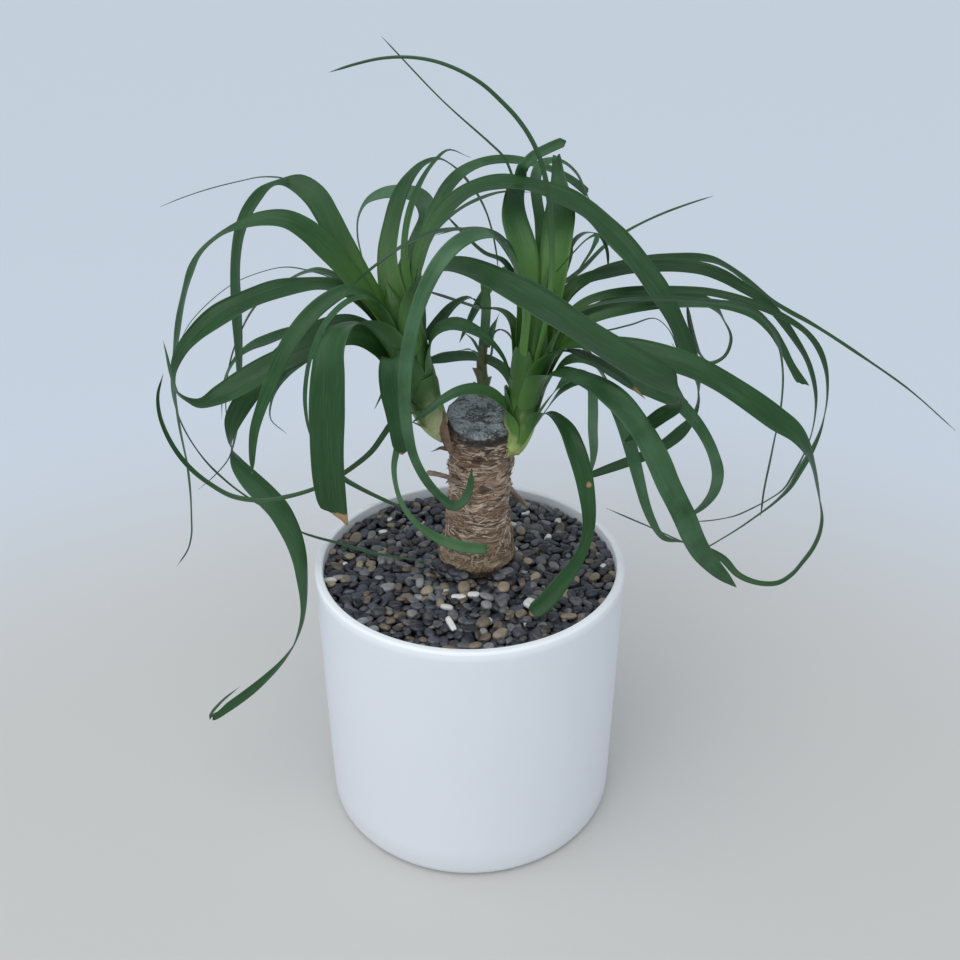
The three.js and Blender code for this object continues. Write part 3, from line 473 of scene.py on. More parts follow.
def dropStones(look, rng, ground):
    stones = []
    tries = 0
    shares = np.array([kind[1] for kind in look["kinds"]])
    shares = shares / shares.sum()
    onHighest, onMean = look["rest"]
    toMiddle, toTop = look["rise"]
    while len(stones) < look["dropped"] and tries < look["tries"]:
        tries += 1
        name, _, least, most, flatness, *_ = look["kinds"][rng.choice(len(shares), p=shares)]
        long = least + (most - least) * rng.beta(1.5, 2.4)
        wide = long * rng.uniform(*look["wide"])
        thick = max(look["thinnest"], wide * rng.uniform(*look["thick"]) * flatness)
        places = []
        for _ in range(look["places"]):
            angle = rng.uniform(0, math.tau)
            spread = math.sqrt(rng.uniform(look["inner"] ** 2, look["outer"] ** 2))
            x = spread * math.cos(angle)
            y = spread * math.sin(angle)
            fromTrunk = math.hypot(x - look["trunk"][0], y - look["trunk"][1])
            if fromTrunk < look["inner"] + wide * 0.4 or math.hypot(x, y) > look["outer"] - wide * 0.95:
                continue
            patch = groundAt(ground, look, x, y, int(wide * 0.85 / look["cell"]))
            places.append((onHighest * patch.max() + onMean * patch.mean(), x, y))
        if not places:
            continue
        level, x, y = min(places, key=lambda place: place[0])
        if level + toTop * thick > look["surface"]:
            continue
        edge, reach, chance = look["brownZone"]
        if name == "dark" and y < edge and abs(x) < reach and rng.uniform() < chance:
            name = "brown"
        stone = (name, x, y, level + thick * toMiddle, (long, wide, thick),
                 rng.uniform(0, math.tau), rng.normal(0, look["lean"], 2), rng.uniform(0, 1))
        stones.append(layStone(ground, look, stone))
    return stones


def placeStones(look, rng, ground):
    stones = []
    for name, *spot, turn, tone in look["placed"]:
        x, y, long, wide = np.array(spot) / 1000
        thick = wide * look["placedThick"]
        level = min(groundAt(ground, look, x, y, 3).mean() + thick * 0.5, look["pile"])
        tilt = rng.normal(0, look["placedLean"], 2)
        stone = (name, x, y, level, (long, wide, thick), math.radians(turn), tilt, tone)
        stones.append(layStone(ground, look, stone))
    return stones


def turned(points, first, second, angle):  # turns the first axis towards the second
    result = points.copy()
    result[:, first] = points[:, first] * math.cos(angle) - points[:, second] * math.sin(angle)
    result[:, second] = points[:, first] * math.sin(angle) + points[:, second] * math.cos(angle)
    return result


def buildPebbles(look):
    rng = np.random.default_rng(look["seed"])
    size = int(2 * (look["outer"] + look["margin"]) / look["cell"]) + 1
    ground = np.full((size, size), look["bedTop"])
    balls = {False: icoShape(2), True: icoShape(3)}  # finer where the stone is seen
    heaps = {kind[0]: {"points": [], "faces": [], "tone": [], "warmth": []} for kind in look["kinds"]}
    bumpDepth, bumpNumber = look["bumps"]
    stones = dropStones(look, rng, ground) + placeStones(look, rng, ground)
    for name, x, y, height, size, turn, tilt, tone in stones:
        seen = height + size[2] > groundAt(ground, look, x, y, 0)[0, 0] - 0.0005
        ball, ballFaces = balls[bool(seen)]
        swell = np.ones(len(ball))
        for direction, offset in zip(rng.normal(0, 1, (4, 3)), rng.uniform(0, math.tau, 4)):
            swell += bumpDepth * np.sin(ball @ direction * bumpNumber + offset)
        roundness = rng.uniform(*look["roundness"])
        if name == "white":
            roundness = look["whiteRoundness"]
        body = np.sign(ball) * np.abs(ball) ** roundness * swell[:, None] * size
        for first, second, angle in ((1, 2, tilt[0]), (2, 0, tilt[1]), (0, 1, turn)):
            body = turned(body, first, second, angle)
        heap = heaps[name]
        start = len(heap["tone"])
        heap["points"].append(body + (x, y, height))
        heap["faces"] += [tuple(start + corner for corner in face) for face in ballFaces]
        heap["tone"] += [tone] * len(body)
        heap["warmth"] += [max(0.0, rng.normal(0.0, look["warmth"]))] * len(body)
    for name, *_, dark, light in look["kinds"]:
        heap = heaps[name]
        attributes = {"stoneTone": heap["tone"], "stoneWarmth": heap["warmth"]}
        addPiece("pebbles_" + name, np.vstack(heap["points"]), heap["faces"], pebbleShader(name, dark, light),
                 ["pebble_bed"], attributes=attributes)
        print("pebbles", name, len(heap["points"]), "stones", len(heap["faces"]), "faces")


def buildBed(look):  # dark grit that fills the gaps between the lowest stones
    rng = np.random.default_rng(look["seed"] + 1)
    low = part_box("pebble_bed")[0][2]
    rings, sides, innerShare, unevenness = look["grit"]
    points = []
    for share in [*np.linspace(0, 1, rings), 1, 0]:  # out over the top and back underneath
        for angle in np.arange(sides) / sides * math.tau:
            way = np.array((math.cos(angle), math.sin(angle)))
            inside = look["trunk"] + look["inner"] * innerShare * way
            spot = inside * (1 - share) + look["outer"] * way * share
            onTop = len(points) < rings * sides
            points.append((*spot, look["bedTop"] + rng.normal(0, unevenness) if onTop else low))
    faces = ringFaces(rings + 3, sides)  # the last ring is the first again
    faces = [tuple(corner % len(points) for corner in face[::-1]) for face in faces]
    material = pebbleShader("grit", tint(0.010, 0.010, 0.013), tint(0.045, 0.042, 0.042))
    addPiece("pebble_grit", points, faces, material, ["pebble_bed"],
             attributes={"stoneTone": [0.3] * len(points), "stoneWarmth": [0.2] * len(points)})


buildBed(pebbleLook)
buildPebbles(pebbleLook)
print("pebbles built")


# trunk: fibrous bark in rings, with a sawn top

trunkLook = {
    "foot": (0.004, 0.014),  # middle of the foot and of the sawn top
    "top": (0.0098, 0.013),
    "base": 0.192,
    "footHeight": 0.190,
    "cut": 0.334,
    "slope": 0.36,
    "radii": ((0.190, 0.0150), (0.200, 0.0196), (0.206, 0.0230), (0.2125, 0.0266), (0.2185, 0.0290),
              (0.223, 0.0290), (0.234, 0.0260), (0.250, 0.0234), (0.270, 0.0220), (0.290, 0.0220),
              (0.304, 0.0230), (0.316, 0.0248), (0.345, 0.0256)),
    "around": 288,
    "along": 236,
    "discs": 34,  # rings on the sawn face
    "noiseHeight": 0.16,
    "papery": (0.243, 0.252),  # levels between which the bark turns papery
    "smoother": (0.312, 0.322),  # and a little less so
    "rooted": (0.222, 0.230),  # and loses its root stubs
    "rimDepth": (0.0035, 0.0105),
    "rimRound": (0.0022, 0.0012),
    "relief": (0.0008, 0.00035, 0.0008),  # of the flakes, fibres and grooves
    # noise as seed, cells around, cells along and size
    "lumps": ((11, 5, 5, 0.0012), (12, 8, 14, 0.0012)),
    "warp": ((13, 5, 6, 0.022), (14, 13, 18, 0.009)),
    "flakes": ((15, 23, 70, 0.65), (25, 45, 118, 0.50), (26, 9, 30, 0.35)),
    "fibres": ((16, 34, 150, 0.50), (17, 70, 210, 0.35)),
    "roots": ((18, 18, 20, 0.0017), (19, 60, 60, 0.0008)),
    "knotEdge": ((20, 26, 26, 0.30), (27, 60, 60, 0.25)),
    "rimEdge": ((21, 16, 3, 0.004),),
    "rimBumps": ((22, 40, 90, 0.0005),),
    "sawn": ((23, 26, 18, 0.0005, 4), (24, 7, 6, 0.0006, 3)),  # and how soon it fades in from the middle
    "grooves": ((0.2290, 0.06, 0.0012, 1.0), (0.2375, 0.05, 0.0009, 0.6), (0.2445, 0.06, 0.0012, 1.0)),
    "knots": (
        # angle in degrees, height, half size, depth
        (-93, 0.3065, 0.0046, 0.0018),
        (-128, 0.2985, 0.0044, 0.0016),
        (-78, 0.2820, 0.0058, 0.0007),
        (40, 0.2900, 0.0045, 0.0012),
        (140, 0.3010, 0.0050, 0.0016),
    ),
}


def barkShader():
    shader = Shader("bark_fibrous")
    place = shader.place()
    ridge = shader.attribute("ridge")
    knot = shader.attribute("knot")
    cut = shader.attribute("cutFace")
    rim = shader.attribute("rim")
    height = place.part(2)
    fibres = place.stretch((1, 1, 5.0)).noise(230.0, 4.0, 0.72, 0.9)
    fine = place.stretch((1, 1, 3.0)).noise(1000.0, 3.0, 0.65)
    patch = place.stretch((1, 1, 1.8)).noise(48.0, 4.0, 0.6)
    blotch = place.noise(180.0, 4.0, 0.7)
    rays = place.stretch((0.75, 1.25, 1)).noise(95.0, 6.0, 0.75, 0.8)
    specks = place.noise(620.0, 5.0, 0.78)
    paper = (ridge + (fibres - 0.5) * 1.1).fade(0.10, 0.95)
    lower = height.fade(0.240, 0.216)
    olive = shader.blend(fine.fade(0.40, 0.64), tint(0.145, 0.105, 0.058), tint(0.470, 0.365, 0.220))
    sawn = shader.coats(tint(0.060, 0.066, 0.068),
                        (rays.fade(0.40, 0.60), tint(0.330, 0.365, 0.385)),
                        (specks.fade(0.54, 0.66) * 0.9, tint(0.640, 0.665, 0.680)),
                        (specks.fade(0.46, 0.34), tint(0.022, 0.023, 0.025)))
    colour = shader.coats(tint(0.150, 0.100, 0.070), (paper, tint(0.860, 0.680, 0.530)),
                          (patch.fade(0.44, 0.60) * 0.65, tint(0.340, 0.200, 0.125)),
                          (fine.fade(0.48, 0.30) * 0.55, tint(0.110, 0.075, 0.052)),
                          (lower * (0.45 + 0.5 * blotch), olive),
                          (knot, tint(0.038, 0.026, 0.020)),
                          (rim * blotch.fade(0.22, 0.50), tint(0.050, 0.045, 0.042)),
                          (cut, sawn))
    rough = 0.80 + 0.14 * fibres
    bump = fibres * 0.55 + fine * 0.25 + specks * 0.20
    return shader.surface(colour, rough, bump, 0.0009)


def barkLayers(count, ridge, rims=0.0):  # what the bark's shader reads, on a loose bit of bark
    layers = {"ridge": ridge, "knot": 0.0, "cutFace": 0.0, "rim": rims}
    return {label: np.full(count, values, float) for label, values in layers.items()}


def buildTrunk(look):
    around = look["around"]
    along = look["along"]
    discs = look["discs"]
    base = look["base"]
    cut = look["cut"]
    foot = look["foot"]
    top = look["top"]
    heights, radii = np.array(look["radii"]).T
    turn, share = np.meshgrid(np.arange(around) / around, np.linspace(0, 1, along))
    angle = turn * math.tau
    cutHeight = cut + np.interp(cut, heights, radii) * np.sin(angle) * look["slope"]
    level = base + share * (cutHeight - base)
    radius = np.interp(level, heights, radii)
    span = (level - base) / look["noiseHeight"]
    warp = layered(look["warp"], turn, span)
    flakes = layered(look["flakes"], turn, span + warp)
    fibres = layered(look["fibres"], turn, span)
    papery = step(level, *look["papery"]) * (1 - 0.25 * step(level, *look["smoother"]))
    lower = 1 - step(level, *look["rooted"])
    grooves = sum(np.exp(-((level - height + warp * waver) / width) ** 2) * depth
                  for height, waver, width, depth in look["grooves"])
    ridge = 0.42 + papery * flakes * 0.55 + 0.25 * fibres - 0.55 * grooves + 0.10 * lower
    flakeDepth, fibreDepth, grooveDepth = look["relief"]
    grown = layered(look["lumps"], turn, span) + papery * flakes * flakeDepth + fibres * fibreDepth
    grown = grown - grooves * grooveDepth + lower * layered(look["roots"], turn, span)
    knotMap = np.zeros_like(level)
    knotEdge = 1 + layered(look["knotEdge"], turn, span)
    for knotAngle, knotHeight, size, depth in look["knots"]:
        apart = (angle - math.radians(knotAngle) + math.pi) % math.tau - math.pi
        far = np.hypot(apart * radius, (level - knotHeight) * 1.25) / size * knotEdge
        grown += depth * (0.65 * np.exp(-((far - 1.25) / 0.40) ** 2) - np.exp(-far ** 3))
        knotMap = np.maximum(knotMap, 0.75 * np.exp(-(far / 0.95) ** 3))
    below = cutHeight - level
    rimFull, rimGone = look["rimDepth"]
    rim = 1 - step(below, rimFull, rimGone + layered(look["rimEdge"], turn, span))
    grown += rim * layered(look["rimBumps"], turn, span)
    roundHeight, roundDepth = look["rimRound"]
    grown -= (1 - step(below, 0.0, roundHeight)) ** 2 * roundDepth
    radius = radius + grown
    blend = np.clip((level - look["footHeight"]) / (cut - look["footHeight"]), 0, 1)
    centreX, centreY = (foot[axis] + (top[axis] - foot[axis]) * blend for axis in (0, 1))
    x = centreX + radius * np.cos(angle)
    y = centreY + radius * np.sin(angle)
    rings = [np.dstack([x, y, level]).reshape(-1, 3)]
    for disc in range(1, discs + 1):
        inward = disc / (discs + 1)
        keep = 1 - inward
        ringX = top[0] + (x[-1] - top[0]) * keep
        ringY = top[1] + (y[-1] - top[1]) * keep
        ringZ = cut + (ringY - top[1]) * look["slope"]
        for *noise, soon in look["sawn"]:
            ringZ += layered([noise], turn[0], inward) * min(1.0, keep * soon)
        ringZ += 0.0009 * step(inward, 0.0, 0.12) - 0.0010 * step(inward, 0.35, 0.9)
        rings.append(np.column_stack([ringX, ringY, ringZ]))
    points = np.vstack(rings + [[(*top, cut - 0.0002), (*foot, base)]])
    centre = len(points) - 2
    faces = ringFaces(along + discs, around) + fanFaces(centre - around, around, centre)
    faces += [face[::-1] for face in fanFaces(0, around, centre + 1)]
    sides = {"ridge": ridge, "knot": knotMap, "cutFace": 1 - step(below, 0.0002, 0.0012), "rim": rim}
    attributes = {}
    for label, onFace, *atEnds in (("ridge", 0.4, 0.3, 0.3), ("knot", 0.0, 0.3, 0.3),
                                   ("cutFace", 1.0, 1.0, 0.0), ("rim", 0.0, 0.3, 0.3)):
        onDiscs = np.full(discs * around, onFace)
        attributes[label] = np.concatenate([sides[label].ravel(), onDiscs, atEnds])
    addPiece("trunk_bark", points, faces, barkMaterial, ["trunk"], attributes=attributes)

    def surface(spotAngle, spotLevel):  # middle of the trunk, radius, knot and rim at a place on the bark
        column = int(spotAngle % math.tau / math.tau * around) % around
        row = (spotLevel - base) / (cutHeight[0, column] - base) * (along - 1)
        row = min(max(int(row), 0), along - 1)
        return tuple(grid[row, column] for grid in (centreX, centreY, radius, knotMap, rim))

    return surface


fibreLook = {
    "seed": 61,
    "papery": 1500,
    "foot": 800,
    "paperyHeights": (0.242, 0.324),
    "footHeights": (0.212, 0.236),
    "girth": 0.024,  # radius that turns a length round the trunk into an angle
    "length": (0.0040, 0.0135),
    "width": (0.0005, 0.0017),
    "thickness": 0.00018,
    "lift": 0.0024,
    "taper": 0.85,
    "slope": 0.30,
    "footSlope": 1.5,
    "footShare": 0.6,  # of the length, for those at the foot
    "steps": 6,
}


def buildFibres(look, surface):  # loose papery strips that lie on the bark
    rng = np.random.default_rng(look["seed"])
    steps = look["steps"]
    girth = look["girth"]
    points, faces, ridge, rims = [], [], [], []
    for index in range(look["papery"] + look["foot"]):
        low = index >= look["papery"]
        start = rng.uniform(0, math.tau)
        height = rng.uniform(*look["footHeights" if low else "paperyHeights"])
        slope = rng.uniform(-look["footSlope"], look["footSlope"]) if low else rng.normal(0, look["slope"])
        length = rng.uniform(*look["length"]) * (look["footShare"] if low else 1.0)
        wide = rng.uniform(*look["width"])
        lift = look["lift"] * rng.uniform(0, 1) ** 3
        way = rng.choice((-1, 1))
        *_, knot, rim = surface(start + way * length * 0.5 / girth, height)
        if knot > 0.35:  # the knots stay bare
            continue
        faces += tubeFaces(steps, 4, len(points))
        for place in np.linspace(0, 1, steps):
            half = wide / 2 * (1 - look["taper"] * place ** 3)
            for side, depth in ((-1, -1), (1, -1), (1, 1), (-1, 1)):
                run = place * length * math.cos(slope) - way * side * half * math.sin(slope)
                level = height + place * length * math.sin(slope) + side * way * half * math.cos(slope)
                angle = start + way * run / girth
                x, y, radius, *_ = surface(angle, level)
                radius += 0.0001 + lift * place ** 2 + depth * look["thickness"]
                points.append((x + radius * math.cos(angle), y + radius * math.sin(angle), level))
        ridge += [rng.uniform(-0.05, 1.20) - 0.30 * step(height, 0.296, 0.312)] * (steps * 4)
        rims += [rim] * (steps * 4)
    addPiece("trunk_fibres", points, faces, barkMaterial, ["trunk"],
             attributes=barkLayers(len(points), ridge, rims))


stalkLook = {
    "sides": 12,
    "stations": 26,
    "stalks": (
        # rows of x, y, z and radius in millimetres
        ((-6, -3.5, 285, 2.6), (-12, -8.5, 291, 2.4), (-19, -14.5, 298, 2.4), (-29, -20, 303, 2.6)),
        ((23, 12, 278, 3.4), (30, 18, 269, 3.2), (37, 29, 255, 2.8), (45, 37, 243, 2.4)),
    ),
}


def buildStalks(look):  # withered leaf stalks left on the trunk
    points = []
    faces = []
    stations = look["stations"]
    angles = np.arange(look["sides"]) / look["sides"] * math.tau
    for number, rows in enumerate(look["stalks"]):
        curve, _ = smoothCurve(np.array(rows) / 1000, stations)
        _, side, front = framesAlong(curve[:, :3], (0.0, 0.0, 1.0))
        faces += tubeFaces(stations, look["sides"], len(points))
        for index, row in enumerate(curve):
            swell = 1 + 0.10 * np.sin(angles * 3 + index * 0.5 + number) + 0.06 * math.sin(index * 1.9)
            points += list(ringAt(row[:3], side[index], front[index], angles, row[3] * swell, 0.7))
    addPiece("dry_stalks", points, faces, barkMaterial, [],
             attributes=barkLayers(len(points), 0.42))


barkMaterial = barkShader()
buildFibres(fibreLook, buildTrunk(trunkLook))
buildStalks(stalkLook)
print("trunk built")


# shoots: fleshy cores wrapped in overlapping leaf bases

shootLook = {
    # each has rows of x, y, z and radius in millimetres
    "left": {
        "node": "left_shoot",
        "rows": (
            (-13, 10, 317, 6), (-23, 8, 327, 8), (-29, 6, 340, 10), (-35, 3, 363, 11.5),
            (-42, 0, 394, 10.5), (-49, 0, 419, 6.5), (-55, 1, 437, 2)),
        "slot": "shoot",
        "sheaths": 5,
        "seed": 31,
        "pale": tint(0.66, 0.70, 0.36),
        "green": tint(0.055, 0.140, 0.030),
        "husk": 1.0,
    },
    "right": {
        "node": "right_shoot",
        "rows": (
            (20, 8, 305, 6), (29, 6, 311, 8), (35, 5, 324, 9.5), (39, 5, 347, 10.8), (43, 7, 376, 11.2),
            (47, 9, 405, 7.5), (50, 11, 430, 2)),
        "slot": "shoot",
        "sheaths": 5,
        "seed": 32,
        "pale": tint(0.52, 0.62, 0.21),
        "green": tint(0.055, 0.150, 0.028),
        "husk": 0.4,
    },
    "back": {
        "node": "back_shoot",
        "rows": (
            (9, 29, 330, 3), (10, 36, 347, 3.4), (9, 41, 362, 3.8), (10, 45, 374, 3.2)),
        "slot": "young_bark",
        "sheaths": 4,
        "seed": 33,
        "pale": tint(0.155, 0.105, 0.070),
        "green": tint(0.110, 0.125, 0.050),
        "husk": 0.8,
    },
}

sheathLook = {
    "stations": 60,
    "sides": 48,
    "along": 26,
    "across": 22,
    "start": (0.02, 0.34, 0.015),  # of the first, spread over the others, and unevenness
    "reach": (0.38, 0.46),  # share of the shoot
    "turn": (137.5, 0.2),  # degrees from each to the next, and unevenness in radians
    "halfTurn": (105, 150),
    "taper": (0.80, 1.6),  # share of its turn lost at the tip, and how late
    "lift": (0.0004, 0.00045, 11),  # least, extra for the outermost, and shoot radius in mm it is meant for
    "flare": (0.0028, 0.45, 0.3),
    "thickness": 0.0005,
    "oversize": 1.03,
    "sunk": 0.0003,  # how far the inner side lies in the shoot
    "ripple": (0.0003, 13),
    "dryFoot": (0.8, 0.08),
    "dryRim": (0.35, 8),
    "drySheaths": 5,  # the ones after these aren't dry
}


def shootFrames(look, count):
    curve, travelled = smoothCurve(np.array(look["rows"]) / 1000, count)
    return curve, travelled, *framesAlong(curve[:, :3], (0.0, 1.0, 0.0))


def bluntTip(share):  # share of the radius as the shoot closes
    return min(1.0, 0.25 + 2.2 * math.sqrt(max(0.0, 1 - share)))


def shootShader(name, look):
    shader = Shader("shoot_" + name)
    place = shader.place()
    climb = shader.attribute("climb")
    husk = shader.attribute("husk")
    veins = place.stretch((1, 1, 0.07)).noise(900.0, 3.0, 0.6)
    patch = place.noise(90.0, 3.0)
    fibres = place.stretch((1, 1, 0.25)).noise(420.0, 4.0, 0.7)
    brown = shader.blend(fibres, tint(0.070, 0.042, 0.026), tint(0.310, 0.215, 0.135))
    colour = shader.coats(look["pale"],
                          ((climb + (patch - 0.5) * 0.20).fade(0.10, 0.42), look["green"]),
                          (veins.fade(0.50, 0.72) * 0.35, tint(0.050, 0.110, 0.030)),
                          ((husk + (fibres - 0.5) * 0.6).fade(0.30, 0.62), brown))
    rough = 0.42 + 0.35 * husk + 0.10 * patch
    return shader.surface(colour, rough, veins + fibres * husk, 0.0004)


def buildShoot(name, look, detail):
    count = detail["stations"]
    sides = detail["sides"]
    curve, _, heading, side, front = shootFrames(look, count)
    angle = np.arange(sides) / sides * math.tau
    points, climb, husk = [], [], []
    for index, share in enumerate(np.linspace(0, 1, count)):
        swell = 1 + 0.035 * np.sin(angle * 5 + share * 9) + 0.02 * np.sin(angle * 11 - share * 4)
        radius = curve[index, 3] * swell * bluntTip(share)
        points += list(ringAt(curve[index, :3], side[index], front[index], angle, radius))
        climb += [share] * sides
        husk += [look["husk"] * (1 - step(share, 0.06, 0.20))] * sides
    points += [curve[0, :3] - heading[0] * 0.001, curve[-1, :3] + heading[-1] * 0.002]
    foot = count * sides
    faces = ringFaces(count, sides) + [face[::-1] for face in fanFaces(0, sides, foot)]
    faces += fanFaces(foot - sides, sides, foot + 1)
    material = shootShader(name, look)
    addPiece(name + "_shoot_core", points, faces, material, [look["node"]],
             attributes={"climb": climb + [0.0, 1.0], "husk": husk + [look["husk"], 0.0]})
    buildSheaths(name, look, detail, material)


def sheetFaces(start, rows, columns):  # a front, a back and the edge between them
    wide = columns + 1
    back = (rows + 1) * wide
    faces = []
    for row in range(rows):
        for corner in range(start + row * wide, start + row * wide + columns):
            face = (corner, corner + 1, corner + wide + 1, corner + wide)
            faces.append(face)
            faces.append(tuple(back + spot for spot in face[::-1]))
    edge = [start + column for column in range(columns)]
    edge += [start + row * wide + columns for row in range(rows)]
    edge += [start + rows * wide + column for column in range(columns, 0, -1)]
    edge += [start + row * wide for row in range(rows, 0, -1)]
    for here, after in zip(edge, edge[1:] + edge[:1]):
        faces.append((after, here, here + back, after + back))
    return faces


def buildSheaths(name, look, detail, material):
    rng = np.random.default_rng(look["seed"])
    count = detail["stations"]
    curve, _, _, side, front = shootFrames(look, count)
    alongSteps = detail["along"]
    acrossSteps = detail["across"]
    first, spread, loose = detail["start"]
    least, more, usual = detail["lift"]
    flareOut, flareFrom, flareOver = detail["flare"]
    turn, turnLoose = detail["turn"]
    tapered, taperLate = detail["taper"]
    rippleSize, rippleCount = detail["ripple"]
    footDry, footReach = detail["dryFoot"]
    rimDry, rimLate = detail["dryRim"]
    points, faces, climb, husk = [], [], [], []
    for sheath in range(look["sheaths"]):
        start = first + spread * sheath / look["sheaths"] + rng.uniform(-loose, loose)
        reach = rng.uniform(*detail["reach"])
        middle = math.radians(turn) * sheath + rng.uniform(-turnLoose, turnLoose)
        lift = least + more * (look["sheaths"] - sheath) / look["sheaths"] * look["rows"][2][3] / usual
        wide = math.radians(rng.uniform(*detail["halfTurn"]))
        faces += sheetFaces(len(points), alongSteps, acrossSteps)
        for outside in (True, False):
            for v in np.linspace(0, 1, alongSteps + 1):
                share = min(1.0, start + reach * v)
                index = min(int(share * (count - 1)), count - 2)
                onward = share * (count - 1) - index
                here = curve[index] * (1 - onward) + curve[index + 1] * onward
                flare = flareOut * max(0.0, v - flareFrom) ** 2 / flareOver
                for u in np.linspace(-1, 1, acrossSteps + 1):
                    angle = middle + u * wide * (1 - tapered * v ** taperLate)
                    thin = 0.35 + 0.65 * math.sin(math.pi * min(1, v + 0.2) * 0.5)
                    thin *= detail["thickness"] * (1 - abs(u) ** 3)
                    radius = here[3] * bluntTip(share) * detail["oversize"] + lift + flare
                    radius += thin if outside else -detail["sunk"]
                    radius += rippleSize * math.sin(u * rippleCount + sheath) * (1 - v)
                    points.append(here[:3] + side[index] * math.cos(angle) * radius
                                  + front[index] * math.sin(angle) * radius)
                    climb.append(min(1.0, start + reach * v + 0.10 * abs(u)))
                    dryEdge = max(0.0, 1 - v / footReach) * footDry + rimDry * abs(u) ** rimLate
                    husk.append(look["husk"] * dryEdge * max(0.0, 1 - sheath / detail["drySheaths"]))
    addPiece(name + "_shoot_sheaths", points, faces, material, [look["node"]],
             attributes={"climb": climb, "husk": husk})


for shootName, look in shootLook.items():
    buildShoot(shootName, look, sheathLook)
print("shoots built")


# leaves: each follows the middle line, width and twist of its solid in the frame

leafLook = {
    "spacing": 0.0030,
    "segments": 8,
    "thickness": 0.00055,
    "thinEdge": (0.78, 2.5),  # share of the thickness lost at the edge, and how late
    "thinEnd": 0.55,
    "lead": (7, 0.42, 0.40),  # rows from the shoot to the leaf, and how hard each end pulls on them
    "leadStart": 0.008,  # no lower than this on the shoot
    "leadShare": 0.45,  # of its length that counts as clasped
    "lowBase": (0.010, 0.040),  # bases that start this low on the shoot are narrower and paler
    "clasp": 0.042,  # how far a leaf base runs down its shoot
    "claspDepth": 0.80,
    "meet": (0.036, 0.35),  # the base joins the middle line from the frame at this length, or share
    "claspFade": 0.036,
    "claspWidth": (1.25, 0.0008),  # in leaf widths, and more
    "claspMost": (0.0195, 0.42),  # and share lost on a low base
    "footWidth": (0.35, 0.65, 0.016),  # at the very start, what it gains, and over what length
    "lowFresh": (0.006, 0.040),
    "sunk": 0.0006,
    "hug": 0.0135,  # radius that the base wraps round
    "climb": 0.070,  # length over which its steepness is taken
    "freshness": {"left": 0.44, "right": 0.58, "back": 0.0},
    "freshReach": (0.060, 0.060),  # past the base, and as much again where the leaf climbs
    "fold": 0.06,
    "wave": 0.035,
    "waveLength": (0.045, 0.080),
    "ripple": (0.012, 0.021),  # size as a share of the width, and length
    "endReach": 0.016,
    "tail": (0.012, 1.6),  # a point runs on by at most this, or this many widths
    "deep": tint(0.010, 0.042, 0.009),
    "middle": tint(0.026, 0.106, 0.027),
    "light": tint(0.140, 0.265, 0.155),
    "fresh": tint(0.130, 0.290, 0.055),
    "pale": tint(0.520, 0.610, 0.250),
    "under": tint(0.095, 0.205, 0.100),
    "tan": tint(0.350, 0.235, 0.110),
}

leafTraits = {
    # node: tone from dark 0 to light 1, partly its own colour and partly painted light and shade, length of
    # its dry tip, and the shape and slant of a blunt end
    "left_leaf_01": (0.45, 0.006), "left_leaf_02": (0.50, 0.006), "left_leaf_03": (0.35, 0.010),
    "left_leaf_07": (0.42, 0.004, "cut", -0.75), "left_leaf_08": (0.35, 0.008),
    "left_leaf_12": (0.28, 0.004), "left_leaf_14": (0.73, 0.004), "left_leaf_16": (0.60, 0.0, "cut", 0.3),
    "left_leaf_18": (0.22, 0.0, "cut", 0.60), "left_leaf_19": (0.55, 0.002, "round"),
    "left_leaf_20": (0.85, 0.0, "cut", 0.10), "right_leaf_01": (0.63, 0.0, "round"),
    "right_leaf_02": (0.65, 0.0, "nick"), "right_leaf_03": (0.60, 0.002), "right_leaf_09": (0.30, 0.004),
    "right_leaf_13": (0.37, 0.0, "cut", -1.10), "right_leaf_17": (0.67, 0.004),
    "right_leaf_18": (0.40, 0.003, "round"), "right_leaf_21": (0.72, 0.002),
    "right_leaf_22": (0.50, 0.020), "back_leaf_01": (1.00, 0.004),
}

leafToneAndShade = {
    # node: how much darker or lighter it is than its random tone, partly its own colour and partly painted
    # light and shade
    "left_leaf_04": -0.36, "left_leaf_05": 0.29, "left_leaf_09": 0.31, "left_leaf_11": -0.14,
    "left_leaf_17": -0.60, "left_leaf_21": -0.05, "left_leaf_22": 0.15, "left_leaf_23": -0.35,
    "right_leaf_04": -0.25, "right_leaf_05": -0.50, "right_leaf_07": -0.18, "right_leaf_08": -0.50,
    "right_leaf_11": -0.45, "right_leaf_12": -0.45, "right_leaf_14": -0.60, "right_leaf_15": -0.38,
    "right_leaf_19": 0.50, "right_leaf_20": 0.29, "right_leaf_23": -0.58, "right_leaf_25": 0.20,
    "right_leaf_27": 0.22,
}

leafBases = {
    # piece: share of the leaf's width at its base, where that isn't broadened
    "right_blade_05": 1.00,
    "right_blade_18": 0.50,
    "right_blade_17": 0.80,
    "right_blade_19": 0.75,
    "right_blade_20": 0.75,
    "right_blade_21": 0.70,
}

leafRipeness = {
    # piece: how fresh a green it turns towards its tip
    "back_blade_01": 0.6,
    "left_blade_20": 0.30,
    "thin_spear_right": 0.35,
}

leafSpots = {
    # piece: middle and size of a withered spot
    "right_blade_18": (0.0806, -0.0638, 0.3185, 0.0026),
}

